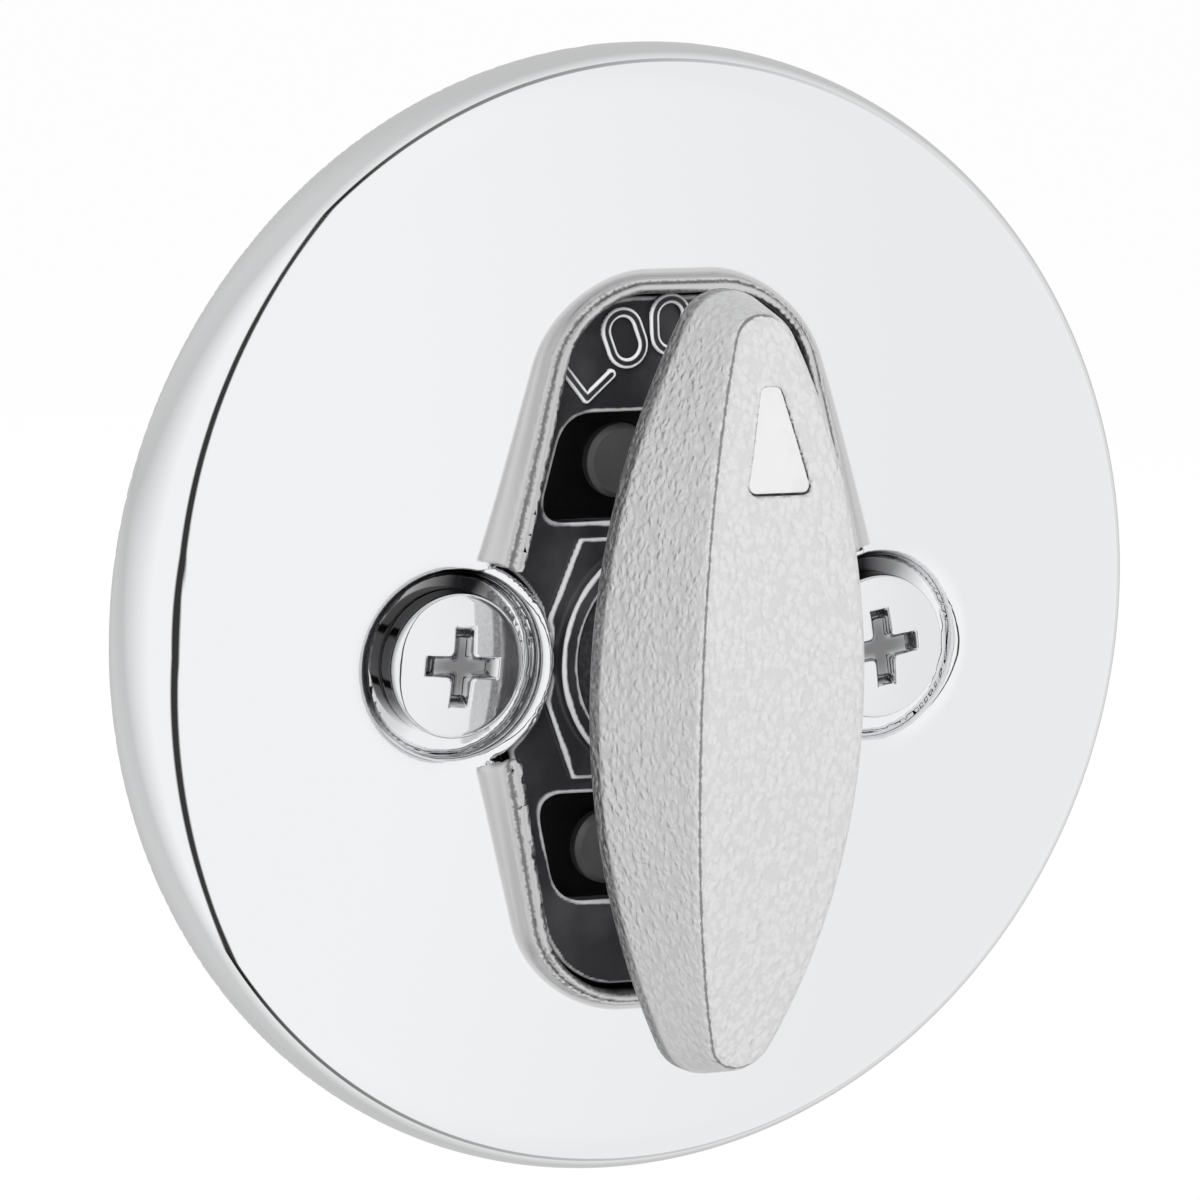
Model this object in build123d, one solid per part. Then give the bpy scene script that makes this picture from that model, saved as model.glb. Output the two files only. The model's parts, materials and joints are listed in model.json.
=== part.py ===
"""Inside thumbturn assembly of a deadbolt lock, in millimetres.

Each piece is modelled in a bench frame: x to the right, y up and z towards the
user, with z = 0 on the door's face and the turn axis along z. STAND then sets
it upright, so the finished part has +Z up and its front towards -Y.
"""
import math
import os

from build123d import *

# Rose: a domed shell with a rounded rim, a drawn collar and two screw pockets
ROSE_R = 33.5
ROSE_RAISE = 2.0
ROSE_LIP = 0.3
ROSE_ROUND = 3.6
ROSE_HEIGHT = 7.2
SHEET = 0.9

# Collar: a stepped, boat-shaped rim that follows the dome, its middle leaning out towards the door
COLLAR_RAISE = 0.85
COLLAR_HALF_LENGTH = 21.5
COLLAR_MID_HALF = 12.8
COLLAR_END_HALF = 7.4
COLLAR_END_ROUND = 4.9
COLLAR_MID_ROUND = 8.0
COLLAR_RISE = 1.3
COLLAR_LEAN = 1.15
COLLAR_STEP = 0.35

# Mounting screws and their pockets
SCREW_SPACING = 28.0
SCREW_R = 2.0
SCREW_NECK_R = 1.7
SCREW_REACH = 31.0
SCREW_TIP_CHAMFER = 0.6
HEAD_R = 4.3
HEAD_HEIGHT = 2.2
HEAD_SIDE = 1.0
HEAD_BASE_EDGE = 0.15
CROSS_SPAN = 5.0
CROSS_WIDTH = 1.25
CROSS_DEPTH = 1.7
CROSS_POINT = 0.55
POCKET_R = 5.3
SCREW_CLEARANCE = 0.35

# Support plate inside the rose
SUPPORT_R = 24.0
SUPPORT_FRONT = 4.0
SUPPORT_THICK = 1.2

# Guide plate with its windows, hub ring and the raised land round the ring
GUIDE_THICK = 1.6
GUIDE_CLEARANCE = 0.3
GUIDE_WALL = 1.1
WINDOW_HEIGHT = 6.4
WINDOW_TO_END = 7.1
WINDOW_ROUND = 1.6
LAND_MID_HALF = 8.0
LAND_FLAT_HALF = 2.2
LAND_END_HALF = 6.0
LAND_MARGIN = 0.9
LAND_RISE = 0.4
HUB_RING_R = 7.3
HUB_RING_WALL = 1.0
HUB_RING_RISE = 1.2

# Stop posts
POST_X = -2.8
POST_TO_END = 3.0
POST_R = 1.6
POST_HEAD_R = 2.2
POST_HEAD_HEIGHT = 0.9
POST_HEAD_EDGE = 0.3
POST_REACH = 3.2

# Spindle and what runs on it
SPINDLE_R = 4.0
SPINDLE_FLAT = 3.0
SPINDLE_REACH = 9.5
RUNNING_GAP = 0.05
FIT_GAP = 0.08
BODY_GAP = 0.3
END_PLAY = 0.15
BUSH_WALL = 1.5
BUSH_FLANGE = 0.6
BUSH_REACH = 1.4
WASHER_THICK = 0.9
CAM_THICK = 1.2
CAM_HUB_R = 6.4
CAM_SHORT = 0.45
TURN_RANGE = 90.0
SPRING_THICK = 0.4
SPRING_HEIGHT = 0.9
SPRING_R = 6.6
CLIP_THICK = 0.8
CLIP_R = 6.4
CLIP_BITE = 0.8
CLIP_MOUTH = 4.6

# Tailpiece and its pin
BLADE_WIDTH = 6.3
BLADE_THICK = 2.0
BLADE_EDGE = 0.5
BLADE_END = 52.0
BLADE_GRIP = 6.6
PIN_R = 0.75
PIN_INSET = 3.3

# Turnpiece: a crowned grip on a round neck
NECK_R = 5.0
GRIP_DROP = 0.8
GRIP_BACK = 10.6
GRIP_EDGE = 1.5
GRIP_FRONT = 20.1
GRIP_HALF_LENGTH = 23.0
GRIP_HALF_WIDTH = 7.75
GRIP_TIP_ROUND = 2.9
GRIP_FRONT_HALF_LENGTH = 21.2
GRIP_FRONT_HALF_WIDTH = 5.4
GRIP_FRONT_TIP_ROUND = 1.6
GRIP_TIP_FRONT = 15.7
GRIP_FRONT_EDGE = 0.4
MARK_TOP = 18.0
MARK_BOTTOM = 11.9
MARK_TOP_HALF = 0.65
MARK_BOTTOM_HALF = 2.15
MARK_ROUND = 0.5
MARK_DEPTH = 0.3

# Levels along the turn axis, from the door's face
COLLAR_FRONT = ROSE_HEIGHT + COLLAR_RISE
POCKET_FLOOR = SUPPORT_FRONT + SHEET
SUPPORT_BACK = SUPPORT_FRONT - SUPPORT_THICK
GUIDE_FRONT = SUPPORT_FRONT + GUIDE_THICK
HUB_RING_FRONT = GUIDE_FRONT + HUB_RING_RISE
BUSH_SEAT = GUIDE_FRONT - BUSH_FLANGE
BUSH_BACK = SUPPORT_BACK - BUSH_REACH
WASHER_FRONT = GUIDE_FRONT + WASHER_THICK
NECK_SHOULDER = WASHER_FRONT + END_PLAY
CAM_FRONT = BUSH_BACK - END_PLAY
CAM_BACK = CAM_FRONT - CAM_THICK
SPRING_BACK = CAM_BACK - SPRING_HEIGHT
CLIP_BACK = SPRING_BACK - CLIP_THICK
BLADE_START = -SPINDLE_REACH + BLADE_GRIP
PIN_LEVEL = -SPINDLE_REACH + PIN_INSET

# Places and radii that follow from the fits
DOME_RISE = ROSE_HEIGHT - ROSE_LIP
DOME_R = ((ROSE_R - ROSE_ROUND) ** 2 + DOME_RISE**2 - ROSE_ROUND**2) / (2 * (DOME_RISE - ROSE_ROUND))
COLLAR_LEVEL = COLLAR_FRONT - COLLAR_MID_HALF**2 / (2 * DOME_R)
WINDOW_FAR = COLLAR_HALF_LENGTH - WINDOW_TO_END
WINDOW_NEAR = WINDOW_FAR - WINDOW_HEIGHT
POST_Y = WINDOW_FAR - POST_TO_END
CAM_SECTOR_R = math.hypot(POST_X, POST_Y) - CAM_SHORT
BUSH_BORE_R = SPINDLE_R + RUNNING_GAP
BUSH_R = BUSH_BORE_R + BUSH_WALL
HUB_SEAT_R = HUB_RING_R - HUB_RING_WALL
SCREW_HOLE_R = SCREW_R + SCREW_CLEARANCE
SCREW_X = SCREW_SPACING / 2

STAND = Plane(origin=(0, 0, 0), x_dir=(1, 0, 0), z_dir=(0, -1, 0))
THROUGH = 4 * ROSE_HEIGHT


def disc(radius, back, front, x=0.0, y=0.0):
    """A round slug along the turn axis between two levels."""
    slug = Cylinder(radius, front - back, align=(Align.CENTER, Align.CENTER, Align.MIN))
    return Pos(x, y, back) * slug


def prism(sketch, back, front):
    """A sketch drawn on the door's face, extruded between two levels."""
    return Pos(0, 0, back) * extrude(sketch, front - back)


def dome(inset):
    """The rose's filled form, shrunk evenly: a flat lip, a rounded rim and a shallow dome."""
    round_x = ROSE_R - ROSE_ROUND
    dome_z = ROSE_HEIGHT - DOME_R
    lean = math.atan2(round_x, ROSE_LIP - dome_z)
    rim_r = ROSE_ROUND - inset
    face_r = DOME_R - inset
    edge = (ROSE_R - inset, ROSE_LIP)
    half_turn = (math.pi / 2 - lean) / 2
    middle = (round_x + rim_r * math.cos(half_turn), ROSE_LIP + rim_r * math.sin(half_turn))
    meet = (round_x + rim_r * math.sin(lean), ROSE_LIP + rim_r * math.cos(lean))
    half_face = (face_r * math.sin(lean / 2), dome_z + face_r * math.cos(lean / 2))
    top = (0, ROSE_HEIGHT - inset)
    outline = Curve() + [
        Line((0, 0), (ROSE_R - inset, 0)),
        Line((ROSE_R - inset, 0), edge),
        ThreePointArc(edge, middle, meet),
        ThreePointArc(meet, half_face, top),
        Line(top, (0, 0)),
    ]
    form = revolve(Plane.XZ * make_face(outline), Axis.Z)
    return Pos(0, ROSE_RAISE, 0) * form


def boat(inset, mid=COLLAR_MID_HALF):
    """The collar's outline, shrunk evenly."""
    end, length = COLLAR_END_HALF, COLLAR_HALF_LENGTH
    corners = [(mid, 0), (end, length), (-end, length), (-mid, 0), (-end, -length), (end, -length)]
    outline = make_face(Polyline(*corners, close=True))
    sides = [v for v in outline.vertices() if abs(v.Y) < length / 2]
    outline = fillet(sides, COLLAR_MID_ROUND)
    ends = [v for v in outline.vertices() if abs(v.Y) > length / 2]
    outline = fillet(ends, COLLAR_END_ROUND)
    outline = offset(outline, -inset) if inset else outline
    return Pos(0, COLLAR_RAISE) * outline


def collar(inset):
    """The collar's filled form, from the support plate up to the front of its rim."""
    foot_mid = COLLAR_MID_HALF + COLLAR_LEAN * (COLLAR_LEVEL - SUPPORT_FRONT)
    front_mid = COLLAR_MID_HALF - COLLAR_LEAN * (COLLAR_FRONT - COLLAR_LEVEL)
    foot = Pos(0, 0, SUPPORT_FRONT) * boat(inset, foot_mid)
    return loft([foot, Pos(0, 0, COLLAR_FRONT) * boat(inset, front_mid)])


def screw_centres():
    """Where the two mounting screws stand."""
    return [(-SCREW_X, 0.0), (SCREW_X, 0.0)]


def make_rose():
    """The plated cover: a sheet shell with its collar, opening and screw pockets."""
    jackets = [disc(POCKET_R + SHEET, SUPPORT_FRONT, THROUGH, x, y) for x, y in screw_centres()]
    rim = collar(0) & dome(COLLAR_STEP - COLLAR_RISE)
    rim += collar(COLLAR_STEP) & dome(-COLLAR_RISE)
    filled = dome(0) + (rim - jackets)
    shell = filled - dome(SHEET) - collar(SHEET)
    for jacket in jackets:
        shell += jacket & dome(0)
    for x, y in screw_centres():
        shell -= disc(POCKET_R, POCKET_FLOOR, THROUGH, x, y)
        shell -= disc(SCREW_HOLE_R, -THROUGH, THROUGH, x, y)
    return shell


def make_support_plate():
    """The steel plate that carries the pockets, the bush and the stop posts."""
    plate = disc(SUPPORT_R, SUPPORT_BACK, SUPPORT_FRONT, 0, ROSE_RAISE)
    plate -= disc(BUSH_R + RUNNING_GAP, SUPPORT_BACK, SUPPORT_FRONT)
    for x, y in screw_centres():
        plate -= disc(SCREW_HOLE_R, SUPPORT_BACK, SUPPORT_FRONT, x, y)
    for y in (POST_Y, -POST_Y):
        plate -= disc(POST_R, SUPPORT_BACK, SUPPORT_FRONT, POST_X, y)
    return plate


def make_guide_plate():
    """The dark plate in the opening, with two windows and a ring on a raised land around the hub."""
    edge = SHEET + GUIDE_CLEARANCE
    plate = prism(boat(edge), SUPPORT_FRONT, GUIDE_FRONT)
    near = Rectangle(2 * COLLAR_MID_HALF, 2 * WINDOW_NEAR)
    far = Rectangle(2 * COLLAR_MID_HALF, 2 * WINDOW_FAR)
    windows = boat(edge + GUIDE_WALL) & (far - near)
    windows = fillet(windows.vertices(), WINDOW_ROUND)
    plate -= prism(windows, SUPPORT_FRONT, GUIDE_FRONT)
    end = WINDOW_NEAR - LAND_MARGIN
    quarter = [(LAND_MID_HALF, LAND_FLAT_HALF), (LAND_END_HALF, end)]
    left = [(-x, y) for x, y in reversed(quarter)]
    upper = quarter + left
    land = make_face(Polyline(*upper, *[(-x, -y) for x, y in upper], close=True))
    plate += prism(land, SUPPORT_FRONT, GUIDE_FRONT + LAND_RISE)
    plate += disc(HUB_RING_R, SUPPORT_FRONT, HUB_RING_FRONT)
    plate -= disc(HUB_SEAT_R, BUSH_SEAT, HUB_RING_FRONT)
    plate -= disc(BUSH_R + RUNNING_GAP, SUPPORT_FRONT, BUSH_SEAT)
    for x, y in screw_centres():
        plate -= disc(POCKET_R + SHEET + GUIDE_CLEARANCE, SUPPORT_FRONT, HUB_RING_FRONT, x, y)
    return plate


def make_stop_post(y):
    """A riveted post: a low head in front of the plate and a stop behind it."""
    post = disc(POST_R, SUPPORT_BACK - POST_REACH, SUPPORT_FRONT, POST_X, y)
    head = disc(POST_HEAD_R, SUPPORT_FRONT, SUPPORT_FRONT + POST_HEAD_HEIGHT, POST_X, y)
    head = chamfer(head.edges().sort_by(Axis.Z)[-1:], POST_HEAD_EDGE)
    return post + head


def make_hub_bushing():
    """The flanged plain bearing."""
    bush = disc(BUSH_R, BUSH_BACK, GUIDE_FRONT)
    bush += disc(HUB_SEAT_R - FIT_GAP, BUSH_SEAT, GUIDE_FRONT)
    return bush - disc(BUSH_BORE_R, BUSH_BACK, GUIDE_FRONT)


def make_thrust_washer():
    """The washer between the bush and the turnpiece's neck."""
    ring = disc(HUB_SEAT_R - FIT_GAP, GUIDE_FRONT, WASHER_FRONT)
    return ring - disc(SPINDLE_R + BODY_GAP, GUIDE_FRONT, WASHER_FRONT)


def make_screw(x, y):
    """A pan-head screw with a cross recess, a plain neck and a threaded length behind the door's face."""
    crown = HEAD_HEIGHT - HEAD_SIDE
    crown_r = (HEAD_R**2 + crown**2) / (2 * crown)
    reach = math.asin(HEAD_R / crown_r) / 2
    middle = (crown_r * math.sin(reach), HEAD_HEIGHT - crown_r * (1 - math.cos(reach)))
    outline = Curve() + [
        Line((0, 0), (HEAD_R, 0)),
        Line((HEAD_R, 0), (HEAD_R, HEAD_SIDE)),
        ThreePointArc((HEAD_R, HEAD_SIDE), middle, (0, HEAD_HEIGHT)),
        Line((0, HEAD_HEIGHT), (0, 0)),
    ]
    head = revolve(Plane.XZ * make_face(outline), Axis.Z)
    head = chamfer(head.edges().sort_by(Axis.Z)[:1], HEAD_BASE_EDGE)
    for turn in (0, 90):
        mouth = Rot(0, 0, turn) * Rectangle(CROSS_SPAN, CROSS_WIDTH)
        point = Rot(0, 0, turn) * Rectangle(CROSS_SPAN * CROSS_POINT, CROSS_WIDTH * CROSS_POINT)
        floor = Pos(0, 0, HEAD_HEIGHT - CROSS_DEPTH) * point
        head -= loft([floor, Pos(0, 0, HEAD_HEIGHT) * mouth])
    neck = disc(SCREW_NECK_R, -POCKET_FLOOR, 0)
    shank = disc(SCREW_R, -SCREW_REACH - POCKET_FLOOR, -POCKET_FLOOR)
    shank = chamfer(shank.edges().sort_by(Axis.Z)[:1], SCREW_TIP_CHAMFER)
    return Pos(x, y, POCKET_FLOOR) * (head + neck + shank)


def lens(half_length, half_width, tip_round):
    """A pointed oval with rounded tips, half_length from its middle to each tip."""
    tip_centre = half_length - tip_round
    arc_r = (half_width**2 + tip_centre**2 - tip_round**2) / (2 * (half_width - tip_round))
    tip = math.sqrt(half_width * (2 * arc_r - half_width))
    outline = make_face(
        Curve()
        + [
            ThreePointArc((0, -tip), (half_width, 0), (0, tip)),
            ThreePointArc((0, tip), (-half_width, 0), (0, -tip)),
        ]
    )
    return fillet(outline.vertices(), tip_round)


def make_grip():
    """The grip: a lens that narrows towards the user under a crowned front."""
    back = lens(GRIP_HALF_LENGTH, GRIP_HALF_WIDTH, GRIP_TIP_ROUND)
    front = lens(GRIP_FRONT_HALF_LENGTH, GRIP_FRONT_HALF_WIDTH, GRIP_FRONT_TIP_ROUND)
    foot = GRIP_BACK + GRIP_EDGE
    body = loft([Pos(0, 0, foot) * back, Pos(0, 0, GRIP_FRONT) * front])
    sag = GRIP_FRONT - GRIP_TIP_FRONT
    crown_r = (GRIP_HALF_LENGTH**2 + sag**2) / (2 * sag)
    crown = Cylinder(crown_r, 4 * GRIP_HALF_WIDTH, rotation=(0, 90, 0))
    body &= Pos(0, 0, GRIP_FRONT - crown_r) * crown
    front_face = body.faces().filter_by(GeomType.CYLINDER).sort_by(SortBy.AREA)[-1]
    body = chamfer(front_face.edges(), GRIP_FRONT_EDGE)
    body += prism(back, GRIP_BACK, foot)
    mark = make_face(
        Polyline(
            (-MARK_BOTTOM_HALF, MARK_BOTTOM),
            (MARK_BOTTOM_HALF, MARK_BOTTOM),
            (MARK_TOP_HALF, MARK_TOP),
            (-MARK_TOP_HALF, MARK_TOP),
            close=True,
        )
    )
    mark = fillet(mark.vertices(), MARK_ROUND)
    floor = Pos(0, 0, GRIP_FRONT - crown_r) * Cylinder(
        crown_r - MARK_DEPTH, 4 * GRIP_HALF_WIDTH, rotation=(0, 90, 0)
    )
    return body - (prism(mark, GRIP_BACK, GRIP_FRONT) - floor)


def make_turnpiece():
    """The thumbturn: grip, neck and spindle cast as one piece."""
    neck = disc(NECK_R, NECK_SHOULDER, GRIP_BACK)
    spindle = disc(SPINDLE_R, -SPINDLE_REACH, NECK_SHOULDER)
    flat_front = CAM_FRONT + END_PLAY / 2
    for side in (-1, 1):
        flat = Box(2 * SPINDLE_R, 2 * SPINDLE_R, SPINDLE_REACH + flat_front)
        level = (flat_front - SPINDLE_REACH) / 2
        spindle -= Pos(side * (SPINDLE_FLAT + SPINDLE_R), 0, level) * flat
    groove = disc(SPINDLE_R, CLIP_BACK, SPRING_BACK) - disc(SPINDLE_R - CLIP_BITE, CLIP_BACK, SPRING_BACK)
    spindle -= groove
    slot = Box(BLADE_THICK + 2 * FIT_GAP, BLADE_WIDTH + 2 * FIT_GAP, 2 * BLADE_GRIP)
    spindle -= Pos(0, 0, -SPINDLE_REACH) * slot
    spindle -= Pos(0, 0, PIN_LEVEL) * Cylinder(PIN_R, 2 * SPINDLE_R, rotation=(0, 90, 0))
    return Pos(0, -GRIP_DROP, 0) * make_grip() + neck + spindle


def make_stop_cam():
    """The cam: a hub on the spindle's flats and a sector that swings between the posts."""
    post_angle = math.degrees(math.atan2(POST_Y, -POST_X))
    post_distance = math.hypot(POST_X, POST_Y)
    post_half = math.degrees(math.asin((POST_R + BODY_GAP) / post_distance))
    half_sector = post_angle - post_half - TURN_RANGE / 2
    pointing = 180 + TURN_RANGE / 2
    rays = [math.radians(pointing + swing) for swing in (-half_sector, 0, half_sector)]
    start, middle, end = [(CAM_SECTOR_R * math.cos(a), CAM_SECTOR_R * math.sin(a)) for a in rays]
    sector = make_face(Curve() + [Line((0, 0), start), ThreePointArc(start, middle, end), Line(end, (0, 0))])
    hole = Circle(SPINDLE_R + FIT_GAP) & Rectangle(2 * (SPINDLE_FLAT + FIT_GAP), 4 * SPINDLE_R)
    return prism(Circle(CAM_HUB_R) + sector - hole, CAM_BACK, CAM_FRONT)


def make_spring_washer():
    """The dished washer behind the cam."""
    inner = SPINDLE_R + FIT_GAP
    outline = Polyline(
        (inner, CAM_BACK),
        (SPRING_R, SPRING_BACK + SPRING_THICK),
        (SPRING_R, SPRING_BACK),
        (inner, CAM_BACK - SPRING_THICK),
        close=True,
    )
    return revolve(Plane.XZ * make_face(outline), Axis.Z)


def make_retaining_clip():
    """The open clip that sits in the spindle's groove."""
    ring = Circle(CLIP_R) - Circle(SPINDLE_R - CLIP_BITE + FIT_GAP)
    ring -= Pos(0, -CLIP_R) * Rectangle(CLIP_MOUTH, 2 * CLIP_R)
    return prism(ring, CLIP_BACK, SPRING_BACK)


def make_tailpiece():
    """The blade, with broken edges and a hole for its pin."""
    section = RectangleRounded(BLADE_THICK, BLADE_WIDTH, BLADE_EDGE)
    blade = prism(section, -BLADE_END, BLADE_START)
    return blade - Pos(0, 0, PIN_LEVEL) * Cylinder(PIN_R, 2 * BLADE_THICK, rotation=(0, 90, 0))


def make_tailpiece_pin():
    """The cross pin, as long as the spindle is wide across its flats."""
    return Pos(0, 0, PIN_LEVEL) * Cylinder(PIN_R, 2 * SPINDLE_FLAT, rotation=(0, 90, 0))


def make_parts():
    """Every piece by name, in the bench frame."""
    left, right = screw_centres()
    return {
        "rose": make_rose(),
        "support_plate": make_support_plate(),
        "guide_plate": make_guide_plate(),
        "stop_post_upper": make_stop_post(POST_Y),
        "stop_post_lower": make_stop_post(-POST_Y),
        "hub_bushing": make_hub_bushing(),
        "thrust_washer": make_thrust_washer(),
        "screw_left": make_screw(*left),
        "screw_right": make_screw(*right),
        "turnpiece": make_turnpiece(),
        "stop_cam": make_stop_cam(),
        "spring_washer": make_spring_washer(),
        "retaining_clip": make_retaining_clip(),
        "tailpiece": make_tailpiece(),
        "tailpiece_pin": make_tailpiece_pin(),
    }


def main():
    """Stand every piece upright and write it to its own file."""
    os.makedirs("parts", exist_ok=True)
    for name, piece in make_parts().items():
        export_step(STAND.location * piece, os.path.join("parts", name + ".step"))


if __name__ == "__main__":
    main()
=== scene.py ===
"""Dresses the inside thumbturn assembly of a deadbolt lock.

Smooth pieces are written as forms: functions that give the signed distance, in
millimetres, from a point to the piece's skin. A form works in the bench frame:
x to the right, y up and z towards the user, with z = 0 on the door's face and
the turn axis along z. SkinMaker turns a form into a mesh that stands upright in
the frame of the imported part, in metres.
"""
from __future__ import annotations

import json
import logging
import math
from dataclasses import dataclass
from enum import Enum
from typing import Callable

import bpy
import numpy as np
from mathutils import Matrix, Vector

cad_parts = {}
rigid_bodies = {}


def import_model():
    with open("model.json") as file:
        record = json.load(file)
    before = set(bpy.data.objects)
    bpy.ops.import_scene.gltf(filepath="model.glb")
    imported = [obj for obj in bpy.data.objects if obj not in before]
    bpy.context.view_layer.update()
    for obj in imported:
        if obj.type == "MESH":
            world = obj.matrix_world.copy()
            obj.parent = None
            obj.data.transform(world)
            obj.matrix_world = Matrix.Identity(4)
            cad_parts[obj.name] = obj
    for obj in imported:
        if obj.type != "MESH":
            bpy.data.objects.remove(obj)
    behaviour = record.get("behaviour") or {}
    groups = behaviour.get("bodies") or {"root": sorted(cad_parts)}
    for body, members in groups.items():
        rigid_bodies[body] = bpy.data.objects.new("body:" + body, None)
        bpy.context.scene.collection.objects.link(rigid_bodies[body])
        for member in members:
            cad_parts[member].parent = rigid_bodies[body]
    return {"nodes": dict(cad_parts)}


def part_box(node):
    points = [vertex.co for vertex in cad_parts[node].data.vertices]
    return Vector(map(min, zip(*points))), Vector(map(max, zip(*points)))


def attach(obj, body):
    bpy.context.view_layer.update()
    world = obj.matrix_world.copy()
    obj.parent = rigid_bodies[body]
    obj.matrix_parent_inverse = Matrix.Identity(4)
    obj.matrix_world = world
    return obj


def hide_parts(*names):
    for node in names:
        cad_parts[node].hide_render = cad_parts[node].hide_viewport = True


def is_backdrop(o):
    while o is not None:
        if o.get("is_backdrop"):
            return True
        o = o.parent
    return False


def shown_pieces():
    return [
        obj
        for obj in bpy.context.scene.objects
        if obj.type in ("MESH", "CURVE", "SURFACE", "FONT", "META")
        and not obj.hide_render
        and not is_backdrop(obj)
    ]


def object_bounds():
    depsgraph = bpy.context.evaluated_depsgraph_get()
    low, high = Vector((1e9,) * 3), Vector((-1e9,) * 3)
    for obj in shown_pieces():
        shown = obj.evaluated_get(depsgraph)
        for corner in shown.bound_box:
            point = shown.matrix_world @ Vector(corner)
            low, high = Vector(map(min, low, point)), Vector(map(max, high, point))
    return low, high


LOG = logging.getLogger("thumbturn")
MM = 0.001

# Direction on the door's face towards the side of a screw cup that lies in shade.
SHADE_UP = 0.64
SHADE_LEFT = 0.77

Field = np.ndarray
Form = Callable[[Field, Field, Field], Field]
Pair = tuple[float, float]
Point = tuple[float, float]
Colour = tuple[float, float, float]


class Body(str, Enum):
    """The two rigid bodies of the assembly."""

    BASE = "base"
    TURN = "turn"


class Slot(str, Enum):
    """The record's material slots of the pieces that are made here."""

    COVER = "plated_cover"
    MOULDING = "dark_moulding"
    SCREW = "plated_screw"
    CASTING = "satin_casting"


def soft_min(a: Field, b: Field, reach: float) -> Field:
    """Joins two forms with a fillet.

    Args:
        a: First distance field.
        b: Second distance field.
        reach: How far the fillet spreads, in millimetres.

    Returns:
        The joined distance field.
    """
    share = np.clip(0.5 + 0.5 * (b - a) / reach, 0.0, 1.0)
    return b + (a - b) * share - reach * share * (1.0 - share)


def soft_max(a: Field, b: Field, reach: float) -> Field:
    """Keeps what two forms share, with a rounded edge.

    Args:
        a: First distance field.
        b: Second distance field.
        reach: How far the rounding spreads, in millimetres.

    Returns:
        The shared distance field.
    """
    return -soft_min(-a, -b, reach)


def fade(value: Field, start: float, end: float) -> Field:
    """Maps a value to 0 before a start, 1 past an end and evenly between them.

    Args:
        value: The value.
        start: Where the result leaves 0.
        end: Where it reaches 1.

    Returns:
        Results from 0 to 1.
    """
    return np.clip((value - start) / (end - start), 0.0, 1.0)


def away_from_light(x: Field, y: Field) -> Field:
    """The share of shade round a screw, 1 at its upper left and 0 at its lower right.

    Args:
        x: Distances to the right of the screw's axis.
        y: Distances above it.

    Returns:
        The shares.
    """
    return fade(SHADE_UP * y - SHADE_LEFT * x, -1.0, 1.5)


def stroke_distance(x: Field, y: Field, points: list[Point]) -> Field:
    """Distance to a line through points on the door's face.

    Args:
        x: Points' x.
        y: Points' y.
        points: The line's points, in order.

    Returns:
        Distances, never negative.
    """
    nearest = np.full(np.broadcast(x, y).shape, np.inf)
    for (ax, ay), (bx, by) in zip(points, points[1:]):
        ex, ey = bx - ax, by - ay
        along = np.clip(((x - ax) * ex + (y - ay) * ey) / (ex * ex + ey * ey), 0.0, 1.0)
        nearest = np.minimum(nearest, np.hypot(x - ax - along * ex, y - ay - along * ey))
    return nearest


def polygon_distance(x: Field, y: Field, corners: list[Point]) -> Field:
    """Signed distance to a closed polygon on the door's face.

    Args:
        x: Points' x.
        y: Points' y.
        corners: The polygon's corners, anticlockwise.

    Returns:
        Distances, negative inside.
    """
    closed = corners + corners[:1]
    nearest = stroke_distance(x, y, closed)
    inside = np.zeros(nearest.shape, bool)
    for (ax, ay), (bx, by) in zip(closed, closed[1:]):
        if ay != by:
            crosses = (ay > y) != (by > y)
            inside ^= crosses & (x < ax + (bx - ax) * (y - ay) / (by - ay))
    return np.where(inside, -nearest, nearest)


def inset_corners(corners: list[Point], inset: float) -> list[Point]:
    """Moves every side of a convex polygon inwards.

    Args:
        corners: The polygon's corners, anticlockwise.
        inset: How far each side moves, in millimetres.

    Returns:
        The smaller polygon's corners.
    """
    moved = []
    for before, here, after in zip(corners[-1:] + corners[:-1], corners, corners[1:] + corners[:1]):
        first = Vector((here[0] - before[0], here[1] - before[1])).normalized()
        second = Vector((after[0] - here[0], after[1] - here[1])).normalized()
        normal_a = Vector((-first.y, first.x))
        normal_b = Vector((-second.y, second.x))
        middle = (normal_a + normal_b) / (1.0 + normal_a.dot(normal_b))
        moved.append((here[0] + inset * middle.x, here[1] + inset * middle.y))
    return moved


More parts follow.
